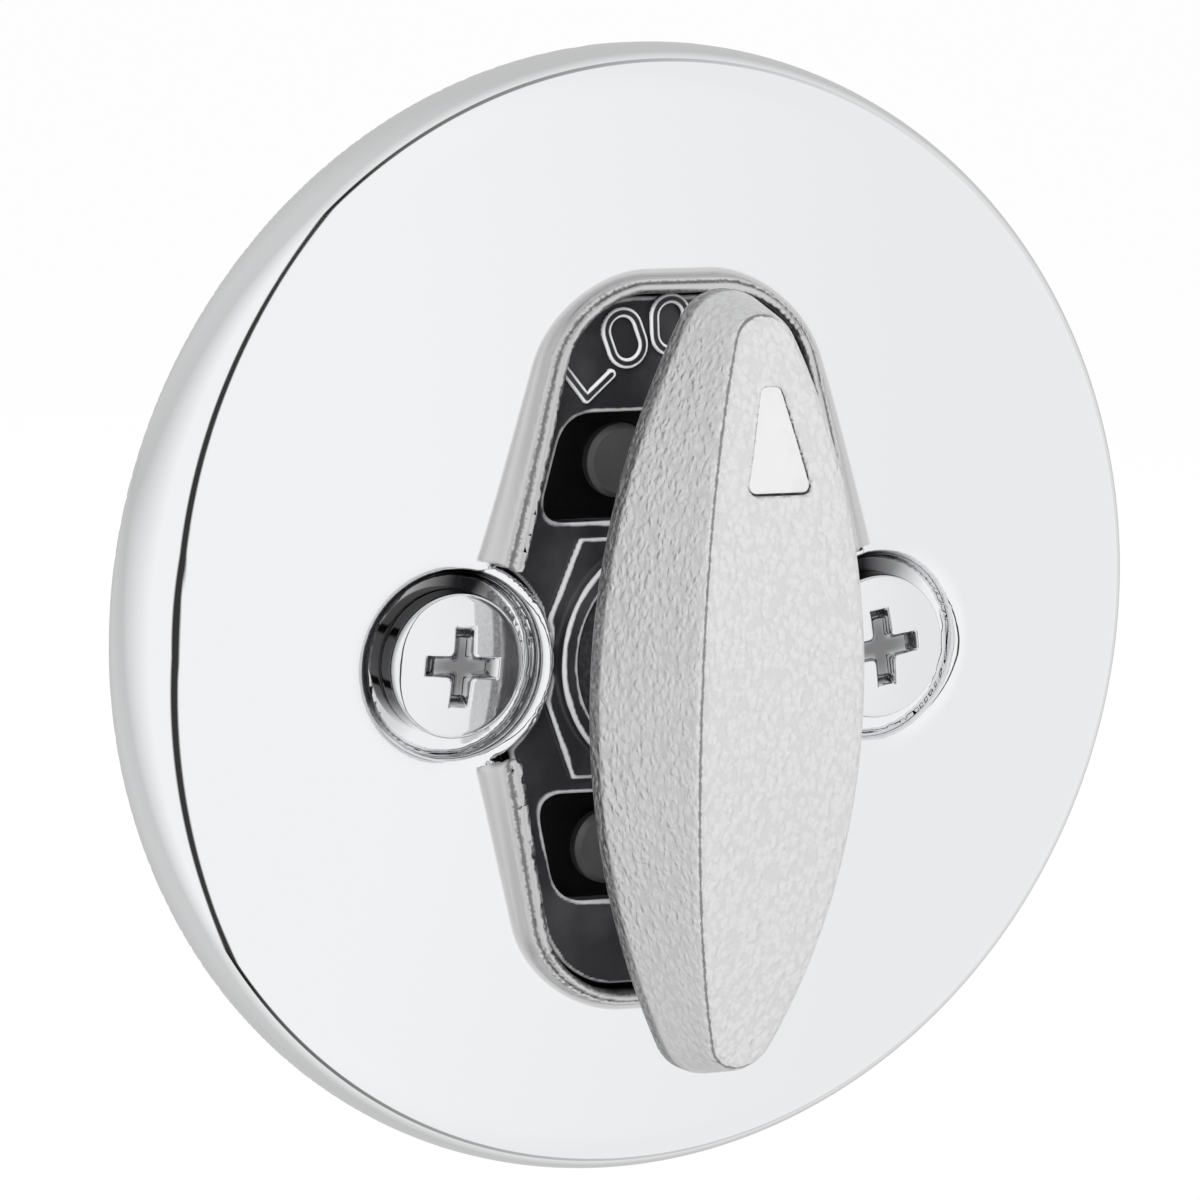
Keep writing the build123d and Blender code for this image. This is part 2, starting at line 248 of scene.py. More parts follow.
@dataclass(frozen=True)
class SkinMaker:
    """Turns a form into a smooth mesh on a grid of cells.

    Attributes:
        step: Cell size, in millimetres.
        settle: Rounds of moving the vertices onto the skin.
        furthest: Longest move in a round along each axis, as a share of a cell.
        least_slope: Smallest squared slope that a move is worked out with.
        probe: Distance over which slopes are measured, in millimetres.
        wear_probe: Distance over which an edge's sharpness is measured.
    """

    step: float
    settle: int = 4
    furthest: float = 0.4
    least_slope: float = 0.05
    probe: float = 0.02
    wear_probe: float = 0.22

    def slope(self, form: Form, points: Field) -> Field:
        """Gradient of a form.

        Args:
            form: The form.
            points: Points, one per row.

        Returns:
            One gradient per row.
        """
        rows = []
        for axis in range(3):
            shift = np.zeros(3)
            shift[axis] = self.probe
            ahead, behind = (points + shift).T, (points - shift).T
            rows.append((form(*ahead) - form(*behind)) / (2.0 * self.probe))
        return np.stack(rows, axis=1)

    def sharpness(self, form: Form, points: Field) -> Field:
        """How strongly the skin bends outwards at each point.

        Args:
            form: The form.
            points: Points on the skin, one per row.

        Returns:
            Values from 0 on flat or hollow skin to 1 on a sharp edge.
        """
        total = -6.0 * form(*points.T)
        for axis in range(3):
            shift = np.zeros(3)
            shift[axis] = self.wear_probe
            total = total + form(*(points + shift).T) + form(*(points - shift).T)
        return np.clip(total / self.wear_probe, 0.0, 1.0)

    def cells(self, form: Form, low: tuple[float, ...], high: tuple[float, ...]) -> tuple[Field, Field]:
        """Finds the cells that the skin passes through and the quads between them.

        Args:
            form: The form.
            low: Lowest corner of the grid, in millimetres.
            high: Highest corner of the grid, in millimetres.

        Returns:
            Starting points and quads, as two arrays.
        """
        lines = [np.arange(a - 2 * self.step, b + 2.5 * self.step, self.step) for a, b in zip(low, high)]
        x, y, z = np.meshgrid(*lines, indexing="ij", sparse=True)
        value = np.ascontiguousarray(np.broadcast_to(form(x, y, z), tuple(len(v) for v in lines)))
        inside = value < 0.0
        size = tuple(n - 1 for n in value.shape)
        corners = [(i, j, k) for i in (0, 1) for j in (0, 1) for k in (0, 1)]
        window = [tuple(slice(o, o + n) for o, n in zip(c, size)) for c in corners]
        count = sum(inside[w].astype(np.int8) for w in window)
        active = (count > 0) & (count < 8)
        index = np.full(size, -1)
        index[active] = np.arange(active.sum())
        values = np.stack([value[w][active] for w in window], axis=1)
        place = np.stack(np.nonzero(active), axis=1).astype(float)
        total = np.zeros_like(place)
        hits = np.zeros(len(place))
        for a, ca in enumerate(corners):
            for b, cb in enumerate(corners):
                if b <= a or sum(abs(p - q) for p, q in zip(ca, cb)) != 1:
                    continue
                va, vb = values[:, a], values[:, b]
                crossing = (va < 0.0) != (vb < 0.0)
                share = np.where(crossing, va / np.where(crossing, va - vb, 1.0), 0.0)
                point = np.array(ca) + share[:, None] * (np.array(cb) - np.array(ca))
                total += np.where(crossing[:, None], point, 0.0)
                hits += crossing
        origin = np.array([v[0] for v in lines])
        points = origin + self.step * (place + total / hits[:, None])
        return points, self.quads(inside, index)

    def quads(self, inside: Field, index: Field) -> Field:
        """Joins the four cells around every grid edge that the skin crosses.

        Args:
            inside: Whether each grid point lies in the form.
            index: Number of the vertex in each cell, or -1.

        Returns:
            Quads, with their fronts outwards.
        """
        found = []
        for axis in range(3):
            first, second = [a for a in range(3) if a != axis]
            start = [slice(1, -1)] * 3
            start[axis] = slice(0, -1)
            ahead = list(start)
            ahead[axis] = slice(1, None)
            here, there = inside[tuple(start)], inside[tuple(ahead)]
            i = np.stack(np.nonzero(here != there), axis=1)
            base = i + np.array([0 if a == axis else 1 for a in range(3)])
            step_a, step_b = np.eye(3, dtype=int)[first], np.eye(3, dtype=int)[second]
            ring = [base - step_a - step_b, base - step_b, base, base - step_a]
            quad = np.stack([index[tuple(c.T)] for c in ring], axis=1)
            outwards = here[tuple(i.T)] != (axis == 1)
            quad[~outwards] = quad[~outwards][:, ::-1]
            found.append(quad)
        return np.concatenate(found)

    def mesh(
        self, name: str, form: Form, low: tuple[float, ...], high: tuple[float, ...], **zones: Form
    ) -> bpy.types.Mesh:
        """Makes the upright mesh of a form, with its own normals and edge sharpness.

        Args:
            name: Name of the mesh.
            form: The form.
            low: Lowest corner of the form, in millimetres.
            high: Highest corner of the form, in millimetres.
            zones: Further values for the finish, from -1 to 1, each kept as a point attribute.

        Returns:
            The mesh, in metres.
        """
        points, quads = self.cells(form, low, high)
        longest = self.furthest * self.step
        for _ in range(self.settle):
            slope = self.slope(form, points)
            strength = np.maximum((slope**2).sum(axis=1), self.least_slope)
            move = -slope * (form(*points.T) / strength)[:, None]
            points = points + np.clip(move, -longest, longest)
        slope = self.slope(form, points)
        normals = slope / np.maximum(np.linalg.norm(slope, axis=1, keepdims=True), 1e-6)
        mesh = bpy.data.meshes.new(name)
        mesh.from_pydata(stand(points * MM).tolist(), [], quads.tolist())
        mesh.update()
        mesh.shade_smooth()
        mesh.normals_split_custom_set_from_vertices(stand(normals).tolist())
        values = {"edge": self.sharpness(form, points)}
        values.update({key: zone(*points.T) for key, zone in zones.items()})
        for key, value in values.items():
            kept = mesh.attributes.new(key, "FLOAT", "POINT")
            kept.data.foreach_set("value", value.astype(np.float32))
        return mesh


def stand(points: Field) -> Field:
    """Turns bench rows (x, y, z) upright, to (x, -z, y)."""
    return np.stack([points[:, 0], -points[:, 2], points[:, 1]], axis=1)


def show(name: str, mesh: bpy.types.Mesh, material: bpy.types.Material) -> bpy.types.Object:
    """Links a mesh into the scene as a named piece.

    Args:
        name: Name of the piece.
        mesh: Its mesh, already in place.
        material: Its finish.

    Returns:
        The new object.
    """
    piece = bpy.data.objects.new(name, mesh)
    bpy.context.scene.collection.objects.link(piece)
    mesh.materials.clear()
    mesh.materials.append(material)
    return piece


class NodeSheet:
    """Short calls for filling a node tree."""

    def __init__(self, tree: bpy.types.NodeTree) -> None:
        """Keeps the tree that is filled."""
        self.tree = tree

    def add(self, kind: str, **settings: object) -> bpy.types.Node:
        """Adds a node.

        Args:
            kind: Blender's name for the node type.
            settings: Properties of the node.

        Returns:
            The new node.
        """
        node = self.tree.nodes.new(kind)
        for key, value in settings.items():
            setattr(node, key, value)
        return node

    def link(self, source: bpy.types.NodeSocket, target: bpy.types.NodeSocket) -> None:
        """Joins an output to an input."""
        self.tree.links.new(source, target)

    def put(self, value: object, target: bpy.types.NodeSocket) -> None:
        """Joins a socket to an input, or sets the input to a plain value."""
        if isinstance(value, bpy.types.NodeSocket):
            self.link(value, target)
        else:
            target.default_value = value

    def math(self, operation: str, first: object, second: object = 0.0) -> bpy.types.NodeSocket:
        """Adds a Math node.

        Args:
            operation: Blender's name for the operation.
            first: A socket or a number.
            second: A socket or a number.

        Returns:
            The node's output.
        """
        node = self.add("ShaderNodeMath", operation=operation)
        for socket, value in zip(node.inputs, (first, second)):
            self.put(value, socket)
        return node.outputs[0]

    def noise(
        self, place: bpy.types.NodeSocket, scale: bpy.types.NodeSocket, detail: float
    ) -> bpy.types.Node:
        """Adds a noise texture.

        Args:
            place: The points it is read at.
            scale: Its scale.
            detail: Its number of finer layers.

        Returns:
            The new node.
        """
        node = self.add("ShaderNodeTexNoise")
        node.inputs["Detail"].default_value = detail
        self.link(place, node.inputs["Vector"])
        self.link(scale, node.inputs["Scale"])
        return node

    def along(self, axis: str, length: bpy.types.NodeSocket) -> bpy.types.NodeSocket:
        """Makes a vector along an axis.

        Args:
            axis: X, Y or Z.
            length: The vector's length.

        Returns:
            The vector's socket.
        """
        node = self.add("ShaderNodeCombineXYZ")
        self.link(length, node.inputs[axis])
        return node.outputs["Vector"]

    def dot(self, place: bpy.types.NodeSocket, direction: tuple[float, ...]) -> bpy.types.NodeSocket:
        """How far a vector goes along a direction.

        Args:
            place: The vector.
            direction: The direction, of length 1.

        Returns:
            The length's socket.
        """
        node = self.add("ShaderNodeVectorMath", operation="DOT_PRODUCT")
        self.link(place, node.inputs[0])
        node.inputs[1].default_value = direction
        return node.outputs["Value"]

    def ramp(
        self, source: bpy.types.NodeSocket, low: float, high: float, start: float, end: float
    ) -> bpy.types.NodeSocket:
        """Maps a value from one span to another.

        Args:
            source: The value.
            low: Start of its span.
            high: End of its span.
            start: Result at the start.
            end: Result at the end.

        Returns:
            The mapped value's socket.
        """
        node = self.add("ShaderNodeMapRange", clamp=True)
        self.link(source, node.inputs["Value"])
        spans = {"From Min": low, "From Max": high, "To Min": start, "To Max": end}
        for key, value in spans.items():
            node.inputs[key].default_value = value
        return node.outputs["Result"]

    def mix(self, share: bpy.types.NodeSocket, first: object, second: object) -> bpy.types.NodeSocket:
        """Mixes two colours.

        Args:
            share: How much of the second colour shows.
            first: A colour or a socket.
            second: A colour or a socket.

        Returns:
            The mixed colour's socket.
        """
        node = self.add("ShaderNodeMix", data_type="RGBA")
        self.link(share, node.inputs[0])
        for socket, value in zip((node.inputs[6], node.inputs[7]), (first, second)):
            self.put(value if isinstance(value, bpy.types.NodeSocket) else (*value, 1.0), socket)
        return node.outputs[2]


class Effects:
    """Shader groups that several finishes share. Each is built once."""

    @staticmethod
    def start(
        name: str, inputs: dict[str, float], outputs: tuple[str, ...]
    ) -> tuple[NodeSheet, bpy.types.NodeOutputs, bpy.types.NodeInputs]:
        """Starts a group with a vector input and named values.

        Args:
            name: Name of the group.
            inputs: Its number inputs with their defaults.
            outputs: Its value outputs.

        Returns:
            A sheet on the group, the sockets that bring its inputs and those that take its outputs.
        """
        tree = bpy.data.node_groups.new(name, "ShaderNodeTree")
        tree.interface.new_socket("Vector", in_out="INPUT", socket_type="NodeSocketVector")
        for key, value in inputs.items():
            socket = tree.interface.new_socket(key, in_out="INPUT", socket_type="NodeSocketFloat")
            socket.default_value = value
        for key in outputs:
            tree.interface.new_socket(key, in_out="OUTPUT", socket_type="NodeSocketFloat")
        sheet = NodeSheet(tree)
        return sheet, sheet.add("NodeGroupInput").outputs, sheet.add("NodeGroupOutput").inputs

    @classmethod
    def cast_grain(cls) -> bpy.types.NodeTree:
        """A pebbled casting skin: a height, and a mask of its hollows."""
        found = bpy.data.node_groups.get("cast_grain")
        if found:
            return found
        sizes = {"Scale": 1400.0, "Stretch": 0.6}
        sheet, source, out = cls.start("cast_grain", sizes, ("Height", "Hollow"))
        place, scale = source["Vector"], source["Scale"]
        bend = sheet.noise(place, scale, 1.0)
        offset = sheet.add("ShaderNodeVectorMath", operation="SCALE")
        sheet.link(bend.outputs["Color"], offset.inputs[0])
        sheet.link(sheet.math("DIVIDE", source["Stretch"], scale), offset.inputs["Scale"])
        moved = sheet.add("ShaderNodeVectorMath", operation="ADD")
        sheet.link(place, moved.inputs[0])
        sheet.link(offset.outputs[0], moved.inputs[1])
        pebble = sheet.add("ShaderNodeTexVoronoi")
        sheet.link(moved.outputs[0], pebble.inputs["Vector"])
        sheet.link(scale, pebble.inputs["Scale"])
        fine = sheet.noise(place, sheet.math("MULTIPLY", scale, 2.2), 3.0)
        low = sheet.ramp(pebble.outputs["Distance"], 0.1, 0.75, 1.0, 0.0)
        height = sheet.math("ADD", low, sheet.math("MULTIPLY", fine.outputs["Fac"], 0.45))
        sheet.link(height, out["Height"])
        sheet.link(sheet.ramp(height, 0.3, 0.8, 1.0, 0.0), out["Hollow"])
        return sheet.tree

    @classmethod
    def polish_haze(cls) -> bpy.types.NodeTree:
        """Faint clouds and hairlines left by polishing."""
        found = bpy.data.node_groups.get("polish_haze")
        if found:
            return found
        sizes = {"Scale": 60.0, "Hairlines": 900.0}
        sheet, source, out = cls.start("polish_haze", sizes, ("Cloud", "Hairline"))
        cloud = sheet.noise(source["Vector"], source["Scale"], 4.0)
        stretch = sheet.add("ShaderNodeMapping")
        stretch.inputs["Scale"].default_value = (1.0, 1.0, 0.06)
        stretch.inputs["Rotation"].default_value = (0.3, 0.5, 0.2)
        sheet.link(source["Vector"], stretch.inputs["Vector"])
        lines = sheet.noise(stretch.outputs["Vector"], source["Hairlines"], 2.0)
        sheet.link(cloud.outputs["Fac"], out["Cloud"])
        sheet.link(sheet.ramp(lines.outputs["Fac"], 0.62, 0.75, 0.0, 1.0), out["Hairline"])
        return sheet.tree

    @classmethod
    def edge_wear(cls) -> bpy.types.NodeTree:
        """Where an edge is rubbed bright, from the piece's own sharpness."""
        found = bpy.data.node_groups.get("edge_wear")
        if found:
            return found
        sizes = {"Edge": 0.0, "Scale": 700.0, "Ragged": 0.5}
        sheet, source, out = cls.start("edge_wear", sizes, ("Worn",))
        rag = sheet.noise(source["Vector"], source["Scale"], 3.0)
        bite = sheet.ramp(rag.outputs["Fac"], 0.35, 0.65, 1.0, 0.0)
        bite = sheet.math("MULTIPLY", bite, source["Ragged"])
        left = sheet.math("SUBTRACT", source["Edge"], bite)
        sheet.link(sheet.ramp(left, 0.15, 0.55, 0.0, 1.0), out["Worn"])
        return sheet.tree


class Surface:
    """A material under construction: a Principled shader on Object coordinates."""

    def __init__(self, name: str, metallic: float, colour: Colour, roughness: float) -> None:
        """Starts the material.

        Args:
            name: Name of the material.
            metallic: 1 for bare metal, 0 for plastic or paint.
            colour: Base colour.
            roughness: Plain roughness, used unless one is linked.
        """
        self.material = bpy.data.materials.new(name)
        self.material.use_nodes = True
        self.sheet = NodeSheet(self.material.node_tree)
        self.shader = self.material.node_tree.nodes["Principled BSDF"]
        self.shader.inputs["Metallic"].default_value = metallic
        self.shader.inputs["Base Color"].default_value = (*colour, 1.0)
        self.shader.inputs["Roughness"].default_value = roughness
        self.material.diffuse_color = (*colour, 1.0)
        self.place = self.sheet.add("ShaderNodeTexCoord").outputs["Object"]

    def effect(self, tree: bpy.types.NodeTree, **values: float) -> bpy.types.Node:
        """Places a shared effect.

        Args:
            tree: The effect's group.
            values: Its input values.

        Returns:
            The group node.
        """
        node = self.sheet.add("ShaderNodeGroup", node_tree=tree)
        self.sheet.link(self.place, node.inputs["Vector"])
        for key, value in values.items():
            node.inputs[key].default_value = value
        return node

    def lengthen(self, share: float) -> None:
        """Draws out along the height the effects that are placed from here on.

        Args:
            share: 1 leaves them as they are, less draws them out.
        """
        node = self.sheet.add("ShaderNodeMapping")
        node.inputs["Scale"].default_value = (1.0, 1.0, share)
        self.sheet.link(self.place, node.inputs["Vector"])
        self.place = node.outputs["Vector"]

    def worn(self, ragged: float, scale: float) -> bpy.types.NodeSocket:
        """The rubbed-edge mask of the piece.

        Args:
            ragged: How broken the wear is.
            scale: Size of the breaks.

        Returns:
            The mask's socket.
        """
        wear = self.effect(Effects.edge_wear(), Ragged=ragged, Scale=scale)
        self.sheet.link(self.zone("edge"), wear.inputs["Edge"])
        return wear.outputs["Worn"]

    def zone(self, name: str) -> bpy.types.NodeSocket:
        """One of the piece's own point values, as a mask.

        Args:
            name: Name of the value.

        Returns:
            The mask's socket.
        """
        return self.sheet.add("ShaderNodeAttribute", attribute_name=name).outputs["Fac"]

    def bump(self, height: bpy.types.NodeSocket, depth: float, strength: float = 1.0) -> None:
        """Feeds a height to the shader's normal.

        Args:
            height: The height, from 0 to 1.
            depth: Full depth of the relief, in metres.
            strength: How much of it shows.
        """
        node = self.sheet.add("ShaderNodeBump")
        node.inputs["Distance"].default_value = depth
        node.inputs["Strength"].default_value = strength
        self.sheet.link(height, node.inputs["Height"])
        self.sheet.link(node.outputs["Normal"], self.shader.inputs["Normal"])

    def feed(self, name: str, socket: bpy.types.NodeSocket) -> None:
        """Links a socket to an input of the shader."""
        self.sheet.link(socket, self.shader.inputs[name])


@dataclass(frozen=True)
class PolishedPlate:
    """Bright chrome plate with faint haze, satin zones, and painted shade along the grooves and in the
    hollows.

    Attributes:
        name: Name of the material.
        colour: Colour of the bright plate.
        satin: Colour of the satin zones.
        crease_shade: Colour of the painted shade along the grooves.
        dull: Colour of the painted shade in the hollows.
        smooth: Roughness of the clear plate.
        hazy: Roughness of its haze.
        satin_rough: Roughness of the satin zones.
        haze_scale: Scale of the haze.
        speck_scale: Scale of the breaks in the painted shade along the grooves.
        hairline_depth: Depth of the hairlines, in metres.
    """

    name: str
    colour: Colour = (0.88, 0.885, 0.895)
    satin: Colour = (0.66, 0.66, 0.665)
    crease_shade: Colour = (0.2, 0.2, 0.205)
    dull: Colour = (0.016, 0.016, 0.018)
    smooth: float = 0.03
    hazy: float = 0.07
    satin_rough: float = 0.38
    haze_scale: float = 45.0
    speck_scale: float = 4500.0
    hairline_depth: float = 2e-6

    def build(self) -> bpy.types.Material:
        """Makes the material."""
        surface = Surface(self.name, 1.0, self.colour, self.smooth)
        sheet = surface.sheet
        haze = surface.effect(Effects.polish_haze(), Scale=self.haze_scale, Hairlines=700.0)
        speck = surface.effect(Effects.polish_haze(), Scale=self.speck_scale)
        satin = sheet.ramp(surface.zone("satin"), 0.44, 0.56, 0.0, 1.0)
        broken = sheet.ramp(speck.outputs["Cloud"], 0.38, 0.62, 0.28, 0.1)
        across = sheet.math("DIVIDE", sheet.math("ABSOLUTE", surface.zone("groove")), broken)
        # Painted shade along the collar's step and inner edge, broken by specks, on the satin zones only.
        crease_shading = sheet.math("MULTIPLY", sheet.ramp(across, 0.35, 1.0, 0.9, 0.0), satin)
        skin = sheet.mix(satin, self.colour, self.satin)
        skin = sheet.mix(crease_shading, skin, self.crease_shade)
        # Painted shade in the screw cups, the cross recesses and behind the collar, from the shade zone.
        surface.feed("Base Color", sheet.mix(surface.zone("shade"), skin, self.dull))
        cloud = sheet.ramp(haze.outputs["Cloud"], 0.3, 0.75, self.smooth, self.hazy)
        rough = sheet.math("MULTIPLY", satin, self.satin_rough)
        surface.feed("Roughness", sheet.math("MAXIMUM", cloud, rough))
        surface.bump(haze.outputs["Hairline"], self.hairline_depth, 0.15)
        return surface.material


@dataclass(frozen=True)
class SatinCasting:
    """Plated die casting with a pebbled skin, a darker band along the back edge, a dark broken line along
    the front edge and painted shade in the pointer recess.

    Attributes:
        name: Name of the material.
        colour: Colour of the skin.
        hollow: Colour between its pebbles.
        dull: Colour of the darker band along the back edge.
        ridge_line_and_recess_shade: Colour of the dark line along the front edge and of the painted shade
            in the pointer recess.
        metallic: How metallic the skin is, from 0 to 1.
        roughness: Plain roughness of the skin.
        speck_scale: Scale of the breaks in the darker band along the back and in the dark line along the
            front edge.
        grain_scale: Scale of the pebbles.
        grain_length: Below 1 where the pebbles are drawn out along the height.
        grain_depth: Depth of the pebbles, in metres.
    """

    name: str
    colour: Colour = (0.73, 0.73, 0.735)
    hollow: Colour = (0.68, 0.68, 0.685)
    dull: Colour = (0.2, 0.2, 0.205)
    ridge_line_and_recess_shade: Colour = (0.2, 0.2, 0.2)
    metallic: float = 0.75
    roughness: float = 0.4
    speck_scale: float = 3600.0
    grain_scale: float = 2200.0
    grain_length: float = 0.75
    grain_depth: float = 9e-5

    def build(self) -> bpy.types.Material:
        """Makes the material."""
        surface = Surface(self.name, self.metallic, self.colour, self.roughness)
        speck = surface.effect(Effects.polish_haze(), Scale=self.speck_scale)
        surface.lengthen(self.grain_length)
        grain = surface.effect(Effects.cast_grain(), Scale=self.grain_scale, Stretch=1.0)
        sheet = surface.sheet
        skin = sheet.mix(grain.outputs["Hollow"], self.colour, self.hollow)
        ragged = sheet.ramp(speck.outputs["Cloud"], 0.36, 0.66, 1.0, 0.55)
        skin = sheet.mix(sheet.math("MULTIPLY", surface.zone("back"), ragged), skin, self.dull)
        broken = sheet.ramp(speck.outputs["Cloud"], 0.38, 0.62, 0.17, 0.07)
        across = sheet.math("DIVIDE", sheet.math("ABSOLUTE", surface.zone("ridge")), broken)
        # A dark broken line along the ridge, and painted shade in the pointer recess, where the ridge zone
        # is 0.
        line_and_shade_share = sheet.math("MULTIPLY", sheet.ramp(across, 0.5, 1.0, 0.85, 0.0), surface.zone("ridge_line_and_recess_shade"))
        surface.feed("Base Color", sheet.mix(line_and_shade_share, skin, self.ridge_line_and_recess_shade))
        surface.feed("Roughness", sheet.ramp(grain.outputs["Height"], 0.2, 1.1, 0.5, 0.32))
        surface.bump(grain.outputs["Height"], self.grain_depth, 0.9)
        return surface.material


@dataclass(frozen=True)
class DarkMoulding:
    """Near-black plate with light rubbed edges.

    Attributes:
        name: Name of the material.
        colour: Colour of the plate.
        dusty: Colour of its dust.
        rubbed: Colour of the rubbed edges.
        roughness: Plain roughness of the plate.
        ragged: How broken the rubbed edges are.
        wear_scale: Scale of the breaks.
        grain_depth: Depth of the grain, in metres.
    """

    name: str
    colour: Colour = (0.022, 0.022, 0.026)
    dusty: Colour = (0.06, 0.06, 0.065)
    rubbed: Colour = (0.62, 0.62, 0.63)
    roughness: float = 0.42
    ragged: float = 0.4
    wear_scale: float = 600.0
    grain_depth: float = 2e-5

    def build(self) -> bpy.types.Material:
        """Makes the material."""
        surface = Surface(self.name, 0.0, self.colour, self.roughness)
        sheet = surface.sheet
        haze = surface.effect(Effects.polish_haze(), Scale=220.0, Hairlines=1200.0)
        dust = sheet.ramp(haze.outputs["Cloud"], 0.45, 0.75, 0.0, 1.0)
        worn = surface.worn(self.ragged, self.wear_scale)
        surface.feed("Base Color", sheet.mix(worn, sheet.mix(dust, self.colour, self.dusty), self.rubbed))
        surface.feed("Roughness", sheet.ramp(haze.outputs["Cloud"], 0.3, 0.7, 0.34, 0.55))
        grain = surface.effect(Effects.cast_grain(), Scale=2600.0, Stretch=0.5)
        surface.bump(grain.outputs["Height"], self.grain_depth, 0.4)
        return surface.material


@dataclass(frozen=True)
class PlainSteel:
    """Plated or plain steel with drawn lines and clouds.

    Attributes:
        name: Name of the material.
        colour: Colour of the steel.
        cloudy: Colour of its clouds.
        smooth: Roughness of the clear steel.
        rough: Roughness of the clouds.
        line_depth: Depth of the drawn lines, in metres.
    """

    name: str
    colour: Colour = (0.58, 0.585, 0.6)
    cloudy: Colour = (0.46, 0.465, 0.48)
    smooth: float = 0.24
    rough: float = 0.44
    line_depth: float = 1e-5

    def build(self) -> bpy.types.Material:
        """Makes the material."""
        surface = Surface(self.name, 1.0, self.colour, self.smooth)
        sheet = surface.sheet
        haze = surface.effect(Effects.polish_haze(), Scale=260.0, Hairlines=2200.0)
        cloud = sheet.ramp(haze.outputs["Cloud"], 0.35, 0.65, 0.0, 1.0)
        surface.feed("Base Color", sheet.mix(cloud, self.colour, self.cloudy))
        surface.feed("Roughness", sheet.ramp(haze.outputs["Cloud"], 0.3, 0.7, self.smooth, self.rough))
        surface.bump(haze.outputs["Hairline"], self.line_depth, 0.35)
        return surface.material


@dataclass(frozen=True)
class BearingPlastic:
    """Matt plastic for the bush and washer.

    Attributes:
        name: Name of the material.
        colour: Colour of the plastic.
        pale: Colour in the hollows of its grain.
        roughness: Plain roughness of the plastic.
        grain_depth: Depth of the grain, in metres.
    """

    name: str
    colour: Colour = (0.018, 0.018, 0.02)
    pale: Colour = (0.04, 0.04, 0.043)
    roughness: float = 0.5
    grain_depth: float = 1e-5

    def build(self) -> bpy.types.Material:
        """Makes the material."""
        surface = Surface(self.name, 0.0, self.colour, self.roughness)
        sheet = surface.sheet
        grain = surface.effect(Effects.cast_grain(), Scale=3000.0, Stretch=0.4)
        surface.feed("Base Color", sheet.mix(grain.outputs["Hollow"], self.colour, self.pale))
        surface.feed("Roughness", sheet.ramp(grain.outputs["Height"], 0.2, 1.0, 0.6, 0.42))
        surface.bump(grain.outputs["Height"], self.grain_depth, 0.3)
        return surface.material


@dataclass(frozen=True)
class Enamel:
    """White fill in a cast mark.

    Attributes:
        name: Name of the material.
        colour: Colour of the fill.
        stained: Colour of its stains.
        roughness: Plain roughness of the fill.
    """

    name: str
    colour: Colour = (0.6, 0.6, 0.6)
    stained: Colour = (0.56, 0.56, 0.555)
    roughness: float = 0.35

    def build(self) -> bpy.types.Material:
        """Makes the material."""
        surface = Surface(self.name, 0.0, self.colour, self.roughness)
        sheet = surface.sheet
        haze = surface.effect(Effects.polish_haze(), Scale=500.0, Hairlines=1500.0)
        cloud = sheet.ramp(haze.outputs["Cloud"], 0.5, 0.8, 0.0, 1.0)
        surface.feed("Base Color", sheet.mix(cloud, self.colour, self.stained))
        surface.feed("Roughness", sheet.ramp(haze.outputs["Cloud"], 0.3, 0.7, 0.3, 0.45))
        return surface.material


def box_low_high(node: str) -> tuple[Field, Field]:
    """A node's box in the bench frame.

    Args:
        node: Name of the node.

    Returns:
        Its lowest and highest corners, in millimetres.
    """
    low, high = (np.array(corner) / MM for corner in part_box(node))
    return np.array([low[0], low[2], -high[1]]), np.array([high[0], high[2], -low[1]])


@dataclass(frozen=True)
class Boat:
    """The collar's outline: six sides with rounded corners.

    Attributes:
        raise_up: Height of its middle above the turn axis.
        half_length: Half of its height.
        mid_half: Half of its width at the middle corners.
        end_half: Half of its width at the ends.
        mid_round: Radius of the middle corners.
        end_round: Radius of the end corners.
    """

    raise_up: float = 0.85
    half_length: float = 21.5
    mid_half: float = 12.8
    end_half: float = 7.4
    mid_round: float = 8.0
    end_round: float = 4.9

    def distance(self, x: Field, y: Field, wider: Field = 0.0) -> Field:
        """Signed distance to the outline.

        Args:
            x: Points' x.
            y: Points' y.
            wider: How much further out the middle corners stand.

        Returns:
            Distances, negative inside.
        """
        end, mid, length = self.end_half, self.mid_half + wider, self.half_length
        y = y - self.raise_up
        lean = np.arctan2(mid - end, length)
        side = abs(x) * np.cos(lean) + abs(y) * np.sin(lean) - mid * np.cos(lean)
        top = abs(y) - length
        across, along = side + self.end_round, top + self.end_round
        spread = np.hypot(np.maximum(across, 0.0), np.maximum(along, 0.0))
        corner = spread + np.minimum(np.maximum(across, along), 0.0) - self.end_round
        waist = mid - self.mid_round / np.cos(lean)
        round_side = np.hypot(abs(x) - waist, y) - self.mid_round
        near_waist = abs(y) < np.maximum(abs(x) - waist, 0.0) * np.tan(lean)
        return np.where(near_waist, round_side, corner)


